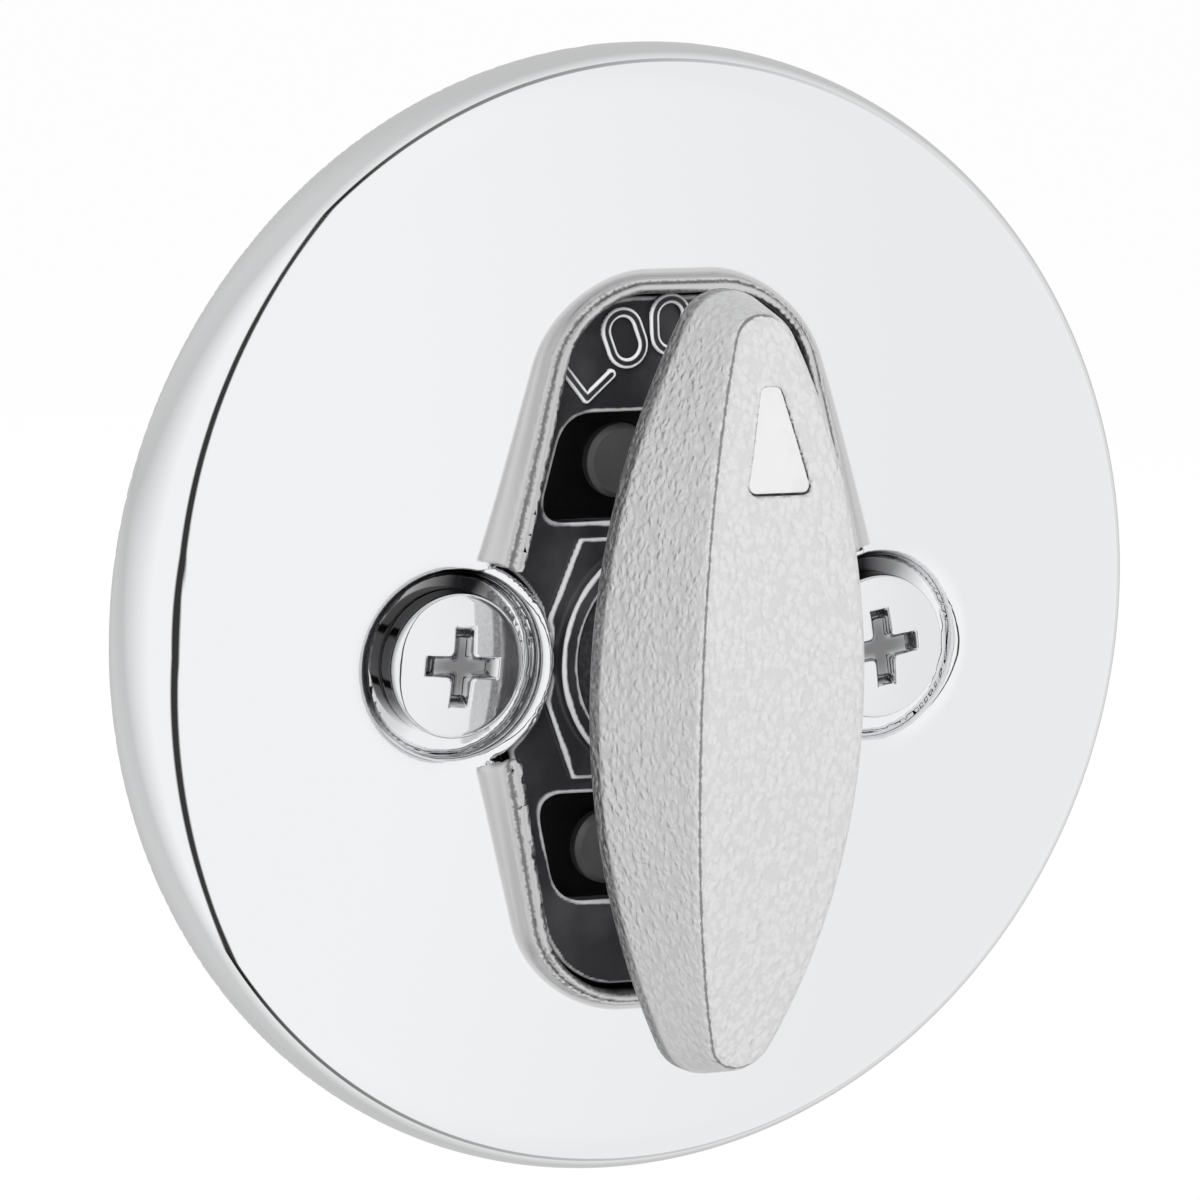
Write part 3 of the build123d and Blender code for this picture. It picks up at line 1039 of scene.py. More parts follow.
@dataclass
class Rose:
    """The plated cover: a domed shell with a drawn collar and two screw cups.

    Attributes:
        radius: Outer radius.
        raise_up: Height of its centre above the turn axis.
        lip: Height of the straight edge at the door.
        rim_round: Radius of the rounded rim.
        height: Height of the dome at its middle.
        sheet: Wall thickness.
        collar: Outline of the collar's rim.
        collar_rise: Height of the rim above the dome.
        collar_lean: How much wider the collar's middle grows per millimetre towards the door.
        collar_step: Width and height of the step along the rim.
        collar_edge: Rounding of the rim.
        step_fillet: Spread of the fillet in the step.
        opening_edge: Rounding of the collar's inner edge.
        blend: Spread of the hollow between the dome and the collar.
        inner_round: Rounding inside the shell, in the cups and at the lip.
        support_front: Level of the support plate's front.
        cup_radius: Inner radius of a screw cup.
        cup_edge: Rounding of a cup's mouth.
        jacket_round: Rounding of a cup's wall against the dome and the collar.
        cup_dusk: Depths in a cup between which it grows dark.
        cup_clear: Width beside a cup over which the shade behind the collar grows.
        satin_reach: How far the satin skin goes past the collar's foot.
        satin_back: Height above the support plate's front where the satin skin starts.
        screw_x: Distance of the screws from the turn axis.
        hole_radius: Radius of the screw holes.
        hole_edge: Rounding of their edges.
        skin: Grid for the mesh.
    """

    radius: float = 33.5
    raise_up: float = 2.0
    lip: float = 0.3
    rim_round: float = 3.6
    height: float = 7.2
    sheet: float = 0.9
    collar: Boat = Boat()
    collar_rise: float = 1.3
    collar_lean: float = 1.15
    collar_step: float = 0.35
    collar_edge: float = 0.2
    step_fillet: float = 0.1
    opening_edge: float = 0.25
    blend: float = 0.5
    inner_round: float = 0.3
    support_front: float = 4.0
    cup_radius: float = 5.3
    cup_edge: float = 1.3
    jacket_round: float = 0.35
    cup_dusk: Pair = (0.85, 1.65)
    cup_clear: float = 2.5
    satin_reach: float = 0.4
    satin_back: float = 0.25
    screw_x: float = 14.0
    hole_radius: float = 2.35
    hole_edge: float = 0.15
    skin: SkinMaker = SkinMaker(0.305)

    @property
    def dome_radius(self) -> float:
        """Radius of the dome, which meets the rounded rim smoothly."""
        middle, rise = self.radius - self.rim_round, self.height - self.lip
        return (middle**2 + rise**2 - self.rim_round**2) / (2.0 * (rise - self.rim_round))

    def dome(self, x: Field, y: Field, z: Field) -> Field:
        """The filled dome with its rounded rim and straight lip.

        Args:
            x: Points' x.
            y: Points' y.
            z: Points' z.

        Returns:
            Distances, negative inside.
        """
        out = np.hypot(x, y - self.raise_up)
        middle = self.radius - self.rim_round
        sphere_r = self.dome_radius
        sphere_z = self.height - sphere_r
        lean = math.atan2(middle, self.lip - sphere_z)
        ball = np.sqrt(out**2 + (z - sphere_z) ** 2) - sphere_r
        rim = np.hypot(out - middle, np.maximum(z - self.lip, 0.0)) - self.rim_round
        beyond = (out - middle) * math.cos(lean) - (z - self.lip) * math.sin(lean) > 0.0
        return np.where(beyond, rim, ball)

    def collar_wall(self, x: Field, y: Field, z: Field) -> Field:
        """The leaning collar, filled, without its front.

        Args:
            x: Points' x.
            y: Points' y.
            z: Points' z.

        Returns:
            Distances, negative inside.
        """
        sag = self.collar.mid_half**2 / (2.0 * self.dome_radius)
        level = self.height + self.collar_rise - sag
        return self.collar.distance(x, y, self.collar_lean * (level - z))

    def cup(self, x: Field, y: Field) -> Field:
        """Distance to the nearer screw's axis."""
        return np.hypot(abs(x) - self.screw_x, y)

    def form(self, x: Field, y: Field, z: Field) -> Field:
        """The whole cover.

        Args:
            x: Points' x.
            y: Points' y.
            z: Points' z.

        Returns:
            Distances, negative inside.
        """
        dome, wall = self.dome(x, y, z), self.collar_wall(x, y, z)
        out = self.cup(x, y)
        step = self.collar_step
        ledge = soft_max(wall, dome - self.collar_rise + step, self.collar_edge)
        rim = soft_max(wall + step, dome - self.collar_rise, self.collar_edge)
        rim = soft_min(ledge, rim, self.step_fillet)
        rim = soft_max(rim, self.cup_radius + self.sheet - out, self.jacket_round)
        filled = soft_min(dome, rim, self.blend)
        hollow = soft_min(dome + self.sheet, wall + self.sheet, self.inner_round)
        shell = soft_max(filled, -hollow, self.opening_edge)
        jacket = soft_max(out - self.cup_radius - self.sheet, dome, self.jacket_round)
        shell = np.minimum(shell, np.maximum(jacket, self.support_front - z))
        bowl = soft_max(out - self.cup_radius, self.support_front + self.sheet - z, self.inner_round)
        shell = soft_max(shell, -bowl, self.cup_edge)
        shell = soft_max(shell, self.hole_radius - out, self.hole_edge)
        return soft_max(shell, -z, self.inner_round)

    def satin(self, x: Field, y: Field, z: Field) -> Field:
        """Over a half where the skin is satin: on the collar and its foot, but not round the cups."""
        inside = self.satin_reach - self.collar_wall(x, y, z)
        inside = np.minimum(inside, z - self.support_front - self.satin_back)
        inside = np.minimum(inside, self.cup(x, y) - self.cup_radius - self.sheet)
        return np.clip(0.5 + inside, 0.0, 1.0)

    def past_cups(self, x: Field, y: Field) -> Field:
        """0 on the screw cups and their walls, rising to 1 beside them."""
        outside = self.cup_radius + self.sheet
        return fade(self.cup(x, y), outside, outside + self.cup_clear)

    def groove(self, x: Field, y: Field, z: Field) -> Field:
        """How far a point lies from the collar's step and inner edge, along which shade is painted."""
        wall, rise = self.collar_wall(x, y, z), self.dome(x, y, z) - self.collar_rise
        return np.clip(rise + np.minimum(-wall, wall + self.sheet), -1.0, 1.0)

    def shade(self, x: Field, y: Field, z: Field) -> Field:
        """Where little light reaches: at the bottom of the screw cups and behind the collar."""
        below = -self.dome(x, y, z)
        in_cup = fade(self.cup(x, y), self.cup_radius + 0.7, self.cup_radius - 0.1)
        in_cup = in_cup * away_from_light(x - np.copysign(self.screw_x, x), y)
        behind = fade(self.collar_wall(x, y, z), -0.5 * self.sheet, -0.8 * self.sheet)
        behind = behind * fade(below, 0.1 - self.collar_rise, 0.0) * self.past_cups(x, y)
        return np.maximum(fade(below, *self.cup_dusk) * in_cup, behind)

    def build(self, finish: bpy.types.Material) -> bpy.types.Object:
        """Makes the cover.

        Args:
            finish: Its material.

        Returns:
            The piece.
        """
        low, high = box_low_high("rose")
        # The groove and shade zones mark where the finish paints shade.
        zones = {"satin": self.satin, "groove": self.groove, "shade": self.shade}
        mesh = self.skin.mesh("rose_cover", self.form, tuple(low), tuple(high), **zones)
        piece = show("rose_cover", mesh, finish)
        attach(piece, Body.BASE.value)
        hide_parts("rose")
        return piece


@dataclass
class Turnpiece:
    """The thumbturn: a crowned grip on a neck and spindle.

    Attributes:
        drop: How far the grip's middle lies below the turn axis.
        half_length: Half of the grip's height at its foot.
        half_width: Half of its width at its foot.
        front_half_length: Half of its height at its front.
        front_half_width: Half of its width at its front.
        tip_round: Rounding of the tips at the foot.
        front_tip_round: Rounding of the tips at the front.
        back: Level of the grip's back.
        foot: Level where the sides start to narrow.
        front: Level of the crown's middle.
        tip_front: Level of the crown at the tips.
        edge: Rounding of the front edge.
        back_edge: Rounding of the back edge.
        neck_radius: Radius of the neck.
        neck_fillet: Spread of the fillet behind the grip.
        shoulder: Level of the neck's shoulder.
        spindle_radius: Radius of the spindle.
        flat: Half of the width across the flats.
        flat_front: Level where the flats start.
        reach: How far the spindle goes behind the door's face.
        groove: Back and front levels of the clip groove.
        groove_radius: Radius in the groove.
        slot_half: Half of the blade slot's width and height.
        slot_depth: Depth of the slot.
        pin_level: Level of the cross pin.
        pin_radius: Radius of the cross pin.
        mark: Bottom and top heights of the pointer recess.
        mark_half: Half widths of the recess at its bottom and top.
        mark_round: Rounding of the recess's corners.
        mark_depth: Depth of the recess.
        mark_edge: Rounding of the recess's edge.
        fill_drop: How far the white fill lies below the crown.
        fill_shift: How far the fill lies right of and above the recess's middle.
        fill_gap: Width left round the fill.
        fill_edge: Rounding of the fill's edge, and of the recess's floor.
        band_soft: Softness of the front of the darker band along the back.
        band_back: Heights above the back between which that band starts.
        ridge_line_side: Places across the crown between which the dark line along the front edge starts.
        skin: Grid for the grip.
        fill_skin: Grid for the fill.
    """

    drop: float = 0.8
    half_length: float = 23.0
    half_width: float = 7.75
    front_half_length: float = 21.2
    front_half_width: float = 5.4
    tip_round: float = 2.9
    front_tip_round: float = 1.6
    back: float = 10.6
    foot: float = 12.1
    front: float = 20.1
    tip_front: float = 15.7
    edge: float = 0.6
    back_edge: float = 0.5
    neck_radius: float = 5.0
    neck_fillet: float = 1.6
    shoulder: float = 6.65
    spindle_radius: float = 4.0
    flat: float = 3.0
    flat_front: float = 1.325
    reach: float = 9.5
    groove: Pair = (-1.65, -0.85)
    groove_radius: float = 3.2
    slot_half: Pair = (1.08, 3.23)
    slot_depth: float = 6.6
    pin_level: float = -6.2
    pin_radius: float = 0.75
    mark: Pair = (11.9, 18.0)
    mark_half: Pair = (2.15, 0.65)
    mark_round: float = 0.5
    mark_depth: float = 0.3
    mark_edge: float = 0.12
    fill_drop: float = 0.06
    fill_shift: Point = (-0.06, 0.1)
    fill_gap: float = 0.04
    fill_edge: float = 0.05
    band_soft: float = 0.15
    band_back: Pair = (0.2, 0.4)
    ridge_line_side: Pair = (1.2, 0.3)
    skin: SkinMaker = SkinMaker(0.24)
    fill_skin: SkinMaker = SkinMaker(0.1)

    def narrowing(self, z: Field) -> Field:
        """How far the sides have narrowed: 0 up to the foot, 1 at the front, and a little more past it."""
        return np.clip((z - self.foot) / (self.front - self.foot), 0.0, 1.2)

    def lens(self, x: Field, y: Field, share: Field) -> Field:
        """The grip's outline: a pointed oval whose tips are rounded.

        Args:
            x: Points' x.
            y: Points' y.
            share: 0 at the foot, 1 at the front.

        Returns:
            Distances, negative inside.
        """
        length = self.half_length + share * (self.front_half_length - self.half_length)
        width = self.half_width + share * (self.front_half_width - self.half_width)
        round_r = self.tip_round + share * (self.front_tip_round - self.tip_round)
        centre = length - round_r
        arc = (width**2 + centre**2 - round_r**2) / (2.0 * (width - round_r))
        side = np.hypot(abs(x) + arc - width, y) - arc
        cap = np.hypot(x, abs(y) - centre) - round_r
        past = abs(y) * (arc - width) > centre * (abs(x) + arc - width)
        return np.where(past, cap, side)

    def crown(self, y: Field, z: Field) -> Field:
        """The crowned front, as a wide cylinder along x."""
        sag = self.front - self.tip_front
        radius = (self.half_length**2 + sag**2) / (2.0 * sag)
        return np.hypot(y, z - self.front + radius) - radius

    def grip(self, x: Field, y: Field, z: Field) -> Field:
        """The grip without its pointer recess.

        Args:
            x: Points' x.
            y: Points' y.
            z: Points' z.

        Returns:
            Distances, negative inside.
        """
        y = y + self.drop
        lean = (self.half_width - self.front_half_width) / (self.front - self.foot)
        sides = self.lens(x, y, self.narrowing(z)) / math.hypot(1.0, lean)
        body = soft_max(sides, self.crown(y, z), self.edge)
        return soft_max(body, self.back - z, self.back_edge)

    def pointer(self, x: Field, y: Field) -> Field:
        """Outline of the pointer mark, wide at its bottom."""
        bottom, top = self.mark
        wide, narrow = self.mark_half
        corners = [(-wide, bottom), (wide, bottom), (narrow, top), (-narrow, top)]
        return polygon_distance(x, y, inset_corners(corners, self.mark_round)) - self.mark_round

    def spindle(self, x: Field, y: Field, z: Field) -> Field:
        """The spindle with its flats, groove, slot and pin hole.

        Args:
            x: Points' x.
            y: Points' y.
            z: Points' z.

        Returns:
            Distances, negative inside.
        """
        out = np.hypot(x, y)
        rod = np.maximum(out - self.spindle_radius, np.maximum(-self.reach - z, z - self.back))
        flats = np.minimum(abs(x) - self.flat, self.spindle_radius)
        rod = np.maximum(rod, np.minimum(flats, self.flat_front - z))
        in_groove = abs(z - sum(self.groove) / 2.0) - (self.groove[1] - self.groove[0]) / 2.0
        rod = np.maximum(rod, -np.maximum(in_groove, self.groove_radius - out))
        slot = np.maximum(abs(x) - self.slot_half[0], abs(y) - self.slot_half[1])
        slot = np.maximum(slot, z + self.reach - self.slot_depth)
        pin = np.hypot(y, z - self.pin_level) - self.pin_radius
        return np.maximum(np.maximum(rod, -slot), -pin)

    def form(self, x: Field, y: Field, z: Field) -> Field:
        """The whole turnpiece.

        Args:
            x: Points' x.
            y: Points' y.
            z: Points' z.

        Returns:
            Distances, negative inside.
        """
        grip = self.grip(x, y, z)
        low_y = y + self.drop
        below = -self.crown(low_y, z) - self.mark_depth
        recess = soft_max(self.pointer(x, low_y), below, self.fill_edge)
        grip = soft_max(grip, -np.maximum(recess, self.foot - z), self.mark_edge)
        ends = np.maximum(self.shoulder - z, z - self.foot)
        neck = np.maximum(np.hypot(x, y) - self.neck_radius, ends)
        return np.minimum(soft_min(grip, neck, self.neck_fillet), self.spindle(x, y, z))

    def dark_back_band(self, x: Field, y: Field, z: Field) -> Field:
        """The upright band along the grip's back edge, which is coloured darker."""
        start, full = (self.back + rise for rise in self.band_back)
        return fade(z, self.foot + self.band_soft, self.foot - self.band_soft) * fade(z, start, full)

    def ridge(self, x: Field, y: Field, z: Field) -> Field:
        """How far a point lies in front of or beside the ridge round the crown, 0 also in the recess so
        that the recess gets painted shade.
        """
        y = y + self.drop
        crown = self.crown(y, z)
        off = np.clip(self.lens(x, y, self.narrowing(z)) - crown, -1.0, 1.0)
        return off * (1.0 - fade(self.pointer(x, y), 0.06, 0.0) * fade(-crown, 0.02, 0.08))

    def ridge_line_and_recess_shade(self, x: Field, y: Field, z: Field) -> Field:
        """Where the ridge gets a dark line, on the crown's left, and where the pointer recess gets painted
        shade.
        """
        return np.maximum(fade(x, *self.ridge_line_side), fade(self.pointer(x, y + self.drop), 0.5, 0.3))

    def inlay(self, x: Field, y: Field, z: Field) -> Field:
        """The white fill of the pointer recess, a little below its edge.

        Args:
            x: Points' x.
            y: Points' y.
            z: Points' z.

        Returns:
            Distances, negative inside.
        """
        y = y + self.drop
        crown = self.crown(y, z)
        fill = np.maximum(crown + self.fill_drop, -crown - self.mark_depth)
        outline = self.pointer(x - self.fill_shift[0], y - self.fill_shift[1]) + self.fill_gap
        return soft_max(outline, fill, self.fill_edge)

    def build(self, finish: bpy.types.Material, enamel: bpy.types.Material) -> list[bpy.types.Object]:
        """Makes the turnpiece and its pointer fill.

        Args:
            finish: Material of the casting.
            enamel: Material of the fill.

        Returns:
            The two pieces.
        """
        low, high = box_low_high("turnpiece")
        # The last zone paints shade in the pointer recess as well as a dark line along the ridge.
        zones = {"back": self.dark_back_band, "ridge": self.ridge, "ridge_line_and_recess_shade": self.ridge_line_and_recess_shade}
        mesh = self.skin.mesh("thumbturn", self.form, tuple(low), tuple(high), **zones)
        body = show("thumbturn", mesh, finish)
        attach(body, Body.TURN.value)
        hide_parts("turnpiece")
        wide, (bottom, top) = max(self.mark_half), self.mark
        low, high = (-wide, bottom - self.drop, self.tip_front), (wide, top, self.front)
        fill = show("pointer_fill", self.fill_skin.mesh("pointer_fill", self.inlay, low, high), enamel)
        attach(fill, Body.TURN.value)
        return [body, fill]


@dataclass
class GuidePlate:
    """The dark plate in the opening, with windows, a hub ring and raised letters.

    Attributes:
        outline: Outline of the collar's rim.
        inset: How far the plate's edge lies inside that outline.
        back: Level of the plate's back.
        front: Level of its front.
        wall: Width left beside the windows.
        window: Near and far edges of the windows from the turn axis.
        window_round: Rounding of the windows' corners.
        ring: Inner and outer radius of the hub ring.
        ring_front: Level of the ring's front.
        land: Corners of a quarter of the raised land round the ring.
        land_front: Level of the land's front.
        seat_level: Level of the bush's seat in the ring.
        bush_radius: Radius of the hole for the bush.
        scallop_radius: Radius of the clearance round each screw cup.
        screw_x: Distance of the screws from the turn axis.
        edge: Rounding of the edges.
        land_fillet: Spread of the fillet at the land's foot.
        ring_fillet: Spread of the fillet at the ring's foot.
        skin: Grid for the mesh.
    """

    outline: Boat = Boat()
    inset: float = 1.2
    back: float = 4.0
    front: float = 5.6
    wall: float = 1.1
    window: Pair = (8.0, 14.4)
    window_round: float = 1.9
    ring: Pair = (6.3, 7.3)
    ring_front: float = 6.8
    land: tuple[Point, ...] = ((8.0, 2.2), (6.0, 7.1))
    land_front: float = 6.0
    seat_level: float = 5.0
    bush_radius: float = 5.6
    scallop_radius: float = 6.5
    screw_x: float = 14.0
    edge: float = 0.22
    land_fillet: float = 0.1
    ring_fillet: float = 0.3
    skin: SkinMaker = SkinMaker(0.16)

    def form(self, x: Field, y: Field, z: Field) -> Field:
        """The whole plate.

        Args:
            x: Points' x.
            y: Points' y.
            z: Points' z.

        Returns:
            Distances, negative inside.
        """
        outline = self.outline.distance(x, y) + self.inset
        near, far = self.window
        ends = np.maximum(near - abs(y), abs(y) - far)
        opening = soft_max(outline + self.wall, ends, self.window_round)
        sheet = soft_max(outline, np.maximum(z - self.front, self.back - z), self.edge)
        sheet = soft_max(sheet, -opening, self.edge)
        out = np.hypot(x, y)
        inner, outer = self.ring
        ring = soft_max(out - outer, np.maximum(z - self.ring_front, self.back - z), self.edge)
        upper = [*self.land, *[(-px, py) for px, py in reversed(self.land)]]
        outer_land = polygon_distance(x, y, upper + [(-px, -py) for px, py in upper])
        land = soft_max(outer_land, np.maximum(z - self.land_front, self.back - z), self.edge)
        plate = soft_min(soft_min(sheet, land, self.land_fillet), ring, self.ring_fillet)
        seat = np.maximum(out - inner, self.seat_level - z)
        plate = soft_max(plate, -seat, self.edge)
        plate = np.maximum(plate, self.bush_radius - out)
        cup = np.hypot(abs(x) - self.screw_x, y)
        return soft_max(plate, self.scallop_radius - cup, self.edge)

    def build(self, finish: bpy.types.Material) -> bpy.types.Object:
        """Makes the plate.

        Args:
            finish: Its material.

        Returns:
            The piece.
        """
        low, high = box_low_high("guide_plate")
        mesh = self.skin.mesh("window_plate", self.form, tuple(low), tuple(high))
        piece = show("window_plate", mesh, finish)
        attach(piece, Body.BASE.value)
        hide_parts("guide_plate")
        return piece


@dataclass
class RaisedWord:
    """Plain letters along an arc on the guide plate.

    Attributes:
        word: The letters.
        centre: Centre of the arc.
        arc_radius: Radius of the arc through the letters' middles.
        first: Angle of the first letter from upright, in degrees.
        apart: Angle between letters, in degrees.
        half_height: Half of a letter's height.
        half_width: Half of a letter's width.
        stroke: Half of a stroke's width.
        foot: Level where the letters start, inside the plate.
        front: Level of their front.
        edge: Rounding of their edges.
        skin: Grid for the mesh.
    """

    word: str = "LOCK"
    centre: Point = (0.26, 9.9)
    arc_radius: float = 9.6
    first: float = -41.0
    apart: float = 18.5
    half_height: float = 1.55
    half_width: float = 1.05
    stroke: float = 0.3
    foot: float = 5.4
    front: float = 5.9
    edge: float = 0.12
    skin: SkinMaker = SkinMaker(0.08, wear_probe=0.16)

    def strokes(self, letter: str) -> list[list[Point]]:
        """The lines of a letter, about its middle.

        Args:
            letter: One of the word's letters.

        Returns:
            Lines of points.
        """
        wide, high = self.half_width, self.half_height
        bowl = high - wide
        turn = [math.radians(a) for a in range(0, 181, 12)]
        over = [(wide * math.cos(a), bowl + wide * math.sin(a)) for a in turn]
        under = [(-px, -py) for px, py in over]
        upright = [(-wide, high), (-wide, -high)]
        lines = {
            "L": [upright + [(wide, -high)]],
            "O": [over + under + over[:1]],
            "C": [over + under],
            "K": [upright, [(wide, high), (-wide, 0.0)], [(-0.3 * wide, 0.35 * high), (wide, -high)]],
        }
        return lines[letter]

    def form(self, x: Field, y: Field, z: Field) -> Field:
        """All letters.

        Args:
            x: Points' x.
            y: Points' y.
            z: Points' z.

        Returns:
            Distances, negative inside.
        """
        flat = np.inf
        for number, letter in enumerate(self.word):
            lean = math.radians(self.first + number * self.apart)
            across = x - self.centre[0] - self.arc_radius * math.sin(lean)
            along = y - self.centre[1] - self.arc_radius * math.cos(lean)
            u = across * math.cos(lean) - along * math.sin(lean)
            v = across * math.sin(lean) + along * math.cos(lean)
            for points in self.strokes(letter):
                flat = np.minimum(flat, stroke_distance(u, v, points))
        return soft_max(flat - self.stroke, np.maximum(z - self.front, self.foot - z), self.edge)

    def build(self, finish: bpy.types.Material) -> bpy.types.Object:
        """Makes the letters as one piece.

        Args:
            finish: Their material.

        Returns:
            The piece.
        """
        reach = self.arc_radius + 2.0 * self.half_height
        x, y = self.centre
        low, high = (x - reach, y, self.foot), (x + reach, y + reach, self.front)
        piece = show("raised_word", self.skin.mesh("raised_word", self.form, low, high), finish)
        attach(piece, Body.BASE.value)
        return piece


@dataclass
class MountingScrews:
    """Two pan-head machine screws, cut with a cross recess and a rolled thread.

    Attributes:
        spacing: Distance between the screws.
        head_radius: Radius of the head.
        head_height: Height of the head.
        head_side: Height of its straight side.
        head_edge: Rounding round its front.
        seat: Level of the head's seat.
        seat_edge: Rounding round the seat.
        neck_fillet: Spread of the fillet under the head.
        thread_start: Level where the thread starts.
        thread_end: Length left plain at the tip.
        tip: Level of the shank's end.
        tip_taper: How much thinner the shank is at its end.
        core_radius: Radius under the thread.
        thread_radius: Outer radius of the thread.
        thread_sink: How deep the thread's ridge sits in the core.
        pitch: Advance of the thread in one turn.
        cross_span: Length of a recess arm, from end to end.
        cross_width: Width of a recess arm.
        cross_depth: Depth of the recess.
        cross_point: Size of the recess at its floor, as a share of its mouth.
        cross_fillet: Rounding between the arms.
        cross_edge: Rounding of the recess's edge.
        turns: How far each head is turned, in degrees.
        skin: Grid for the mesh.
    """

    spacing: float = 28.0
    head_radius: float = 4.3
    head_height: float = 2.2
    head_side: float = 1.68
    head_edge: float = 0.5
    seat: float = 4.9
    seat_edge: float = 0.2
    neck_fillet: float = 0.4
    thread_start: float = -0.4
    thread_end: float = 1.0
    tip: float = -31.0
    tip_taper: float = 0.5
    core_radius: float = 1.7
    thread_radius: float = 2.0
    thread_sink: float = 0.05
    pitch: float = 0.8
    cross_span: float = 5.0
    cross_width: float = 1.25
    cross_depth: float = 1.7
    cross_point: float = 0.45
    cross_fillet: float = 0.35
    cross_edge: float = 0.12
    turns: Pair = (4.0, -9.0)
    skin: SkinMaker = SkinMaker(0.13)

    def crown(self, x: Field, y: Field, z: Field) -> Field:
        """The ball that the head's front belongs to."""
        crown = self.head_height - self.head_side
        radius = (self.head_radius**2 + crown**2) / (2.0 * crown)
        return np.sqrt(x**2 + y**2 + (z - self.seat - self.head_height + radius) ** 2) - radius

    def shade(self, x: Field, y: Field, z: Field) -> Field:
        """Where little light reaches: in the cross recess and low on the head's side."""
        side = fade(np.hypot(x, y), 0.9 * self.head_radius, self.head_radius)
        low = fade(-self.crown(x, y, z), 0.12, 0.5) * fade(z, self.seat - 0.1, self.seat)
        return low * (0.75 * (1.0 - side) + 0.95 * side * away_from_light(x, y))

    def form(self, x: Field, y: Field, z: Field) -> Field:
        """One screw on the turn axis, without its thread.

        Args:
            x: Points' x.
            y: Points' y.
            z: Points' z.

        Returns:
            Distances, negative inside.
        """
        out = np.hypot(x, y)
        front = self.seat + self.head_height
        ball = self.crown(x, y, z)
        head = soft_max(out - self.head_radius, ball, self.head_edge)
        head = soft_max(head, self.seat - z, self.seat_edge)
        share = np.clip((z - front + self.cross_depth) / self.cross_depth, 0.0, 1.2)
        grow = self.cross_point + (1.0 - self.cross_point) * share
        length, width = self.cross_span / 2.0 * grow, self.cross_width / 2.0 * grow
        one = np.maximum(abs(x) - length, abs(y) - width)
        two = np.maximum(abs(y) - length, abs(x) - width)
        recess = np.maximum(soft_min(one, two, self.cross_fillet), front - self.cross_depth - z)
        head = soft_max(head, -recess, self.cross_edge)
        shank = np.maximum(out - self.core_radius, z - self.seat - self.head_side)
        taper = out - self.core_radius - (z - self.tip) + self.tip_taper
        shank = np.maximum(shank, np.maximum(self.tip - z, taper))
        return soft_min(head, shank, self.neck_fillet)

    @staticmethod
    def wind_ridge(sheet: NodeSheet, source: bpy.types.NodeOutputs) -> bpy.types.NodeSocket:
        """Winds the thread's ridge round the shank.

        Args:
            sheet: Sheet on the node tree.
            source: The tree's inputs.

        Returns:
            The ridge's socket.
        """
        spiral = sheet.add("GeometryNodeCurveSpiral")
        spiral.inputs["Resolution"].default_value = 20
        sheet.link(source["Turns"], spiral.inputs["Rotations"])
        sheet.link(source["Length"], spiral.inputs["Height"])
        for key in ("Start Radius", "End Radius"):
            sheet.link(source["Root Radius"], spiral.inputs[key])
        profile = sheet.add("GeometryNodeCurvePrimitiveCircle")
        profile.inputs["Resolution"].default_value = 4
        sheet.link(source["Ridge"], profile.inputs["Radius"])
        ridge = sheet.add("GeometryNodeCurveToMesh")
        ridge.inputs["Fill Caps"].default_value = True
        sheet.link(spiral.outputs["Curve"], ridge.inputs["Curve"])
        sheet.link(profile.outputs["Curve"], ridge.inputs["Profile Curve"])
        lay = sheet.add("GeometryNodeTransform")
        lay.inputs["Rotation"].default_value = (-math.pi / 2.0, 0.0, 0.0)
        sheet.link(ridge.outputs["Mesh"], lay.inputs["Geometry"])
        sheet.link(sheet.along("Y", source["Top"]), lay.inputs["Translation"])
        return lay.outputs["Geometry"]

    @staticmethod
    def set_out(
        sheet: NodeSheet, source: bpy.types.NodeOutputs, screw: bpy.types.NodeSocket
    ) -> bpy.types.NodeSocket:
        """Sets out the two screws, each with its own turn.

        Args:
            sheet: Sheet on the node tree.
            source: The tree's inputs.
            screw: One screw on the turn axis.

        Returns:
            Both screws' socket.
        """
        row = sheet.add("GeometryNodeMeshLine", mode="OFFSET")
        row.inputs["Count"].default_value = 2
        half = sheet.math("MULTIPLY", source["Spacing"], -0.5)
        sheet.link(sheet.along("X", half), row.inputs["Start Location"])
        sheet.link(sheet.along("X", source["Spacing"]), row.inputs["Offset"])
        index = sheet.add("GeometryNodeInputIndex")
        change = sheet.math("SUBTRACT", source["Second Turn"], source["First Turn"])
        angle = sheet.math("ADD", source["First Turn"], sheet.math("MULTIPLY", index.outputs[0], change))
        both = sheet.add("GeometryNodeInstanceOnPoints")
        sheet.link(row.outputs["Mesh"], both.inputs["Points"])
        sheet.link(screw, both.inputs["Instance"])
        sheet.link(sheet.along("Y", angle), both.inputs["Rotation"])
        real = sheet.add("GeometryNodeRealizeInstances")
        sheet.link(both.outputs["Instances"], real.inputs["Geometry"])
        return real.outputs["Geometry"]

    def thread_tree(self, finish: bpy.types.Material, sizes: dict[str, float]) -> bpy.types.NodeTree:
        """A node tree that winds a thread on a screw and sets out both screws.

        Args:
            finish: Material of the screws.
            sizes: The tree's number inputs.

        Returns:
            The node tree.
        """
        tree = bpy.data.node_groups.new("threaded_screws", "GeometryNodeTree")
        tree.interface.new_socket("Geometry", in_out="INPUT", socket_type="NodeSocketGeometry")
        for name in sizes:
            tree.interface.new_socket(name, in_out="INPUT", socket_type="NodeSocketFloat")
        tree.interface.new_socket("Geometry", in_out="OUTPUT", socket_type="NodeSocketGeometry")
        sheet = NodeSheet(tree)
        source, out = sheet.add("NodeGroupInput").outputs, sheet.add("NodeGroupOutput")
        join = sheet.add("GeometryNodeJoinGeometry")
        sheet.link(self.wind_ridge(sheet, source), join.inputs[0])
        sheet.link(source["Geometry"], join.inputs[0])
        paint = sheet.add("GeometryNodeSetMaterial")
        paint.inputs["Material"].default_value = finish
        sheet.link(self.set_out(sheet, source, join.outputs["Geometry"]), paint.inputs["Geometry"])
        sheet.link(paint.outputs["Geometry"], out.inputs["Geometry"])
        return tree

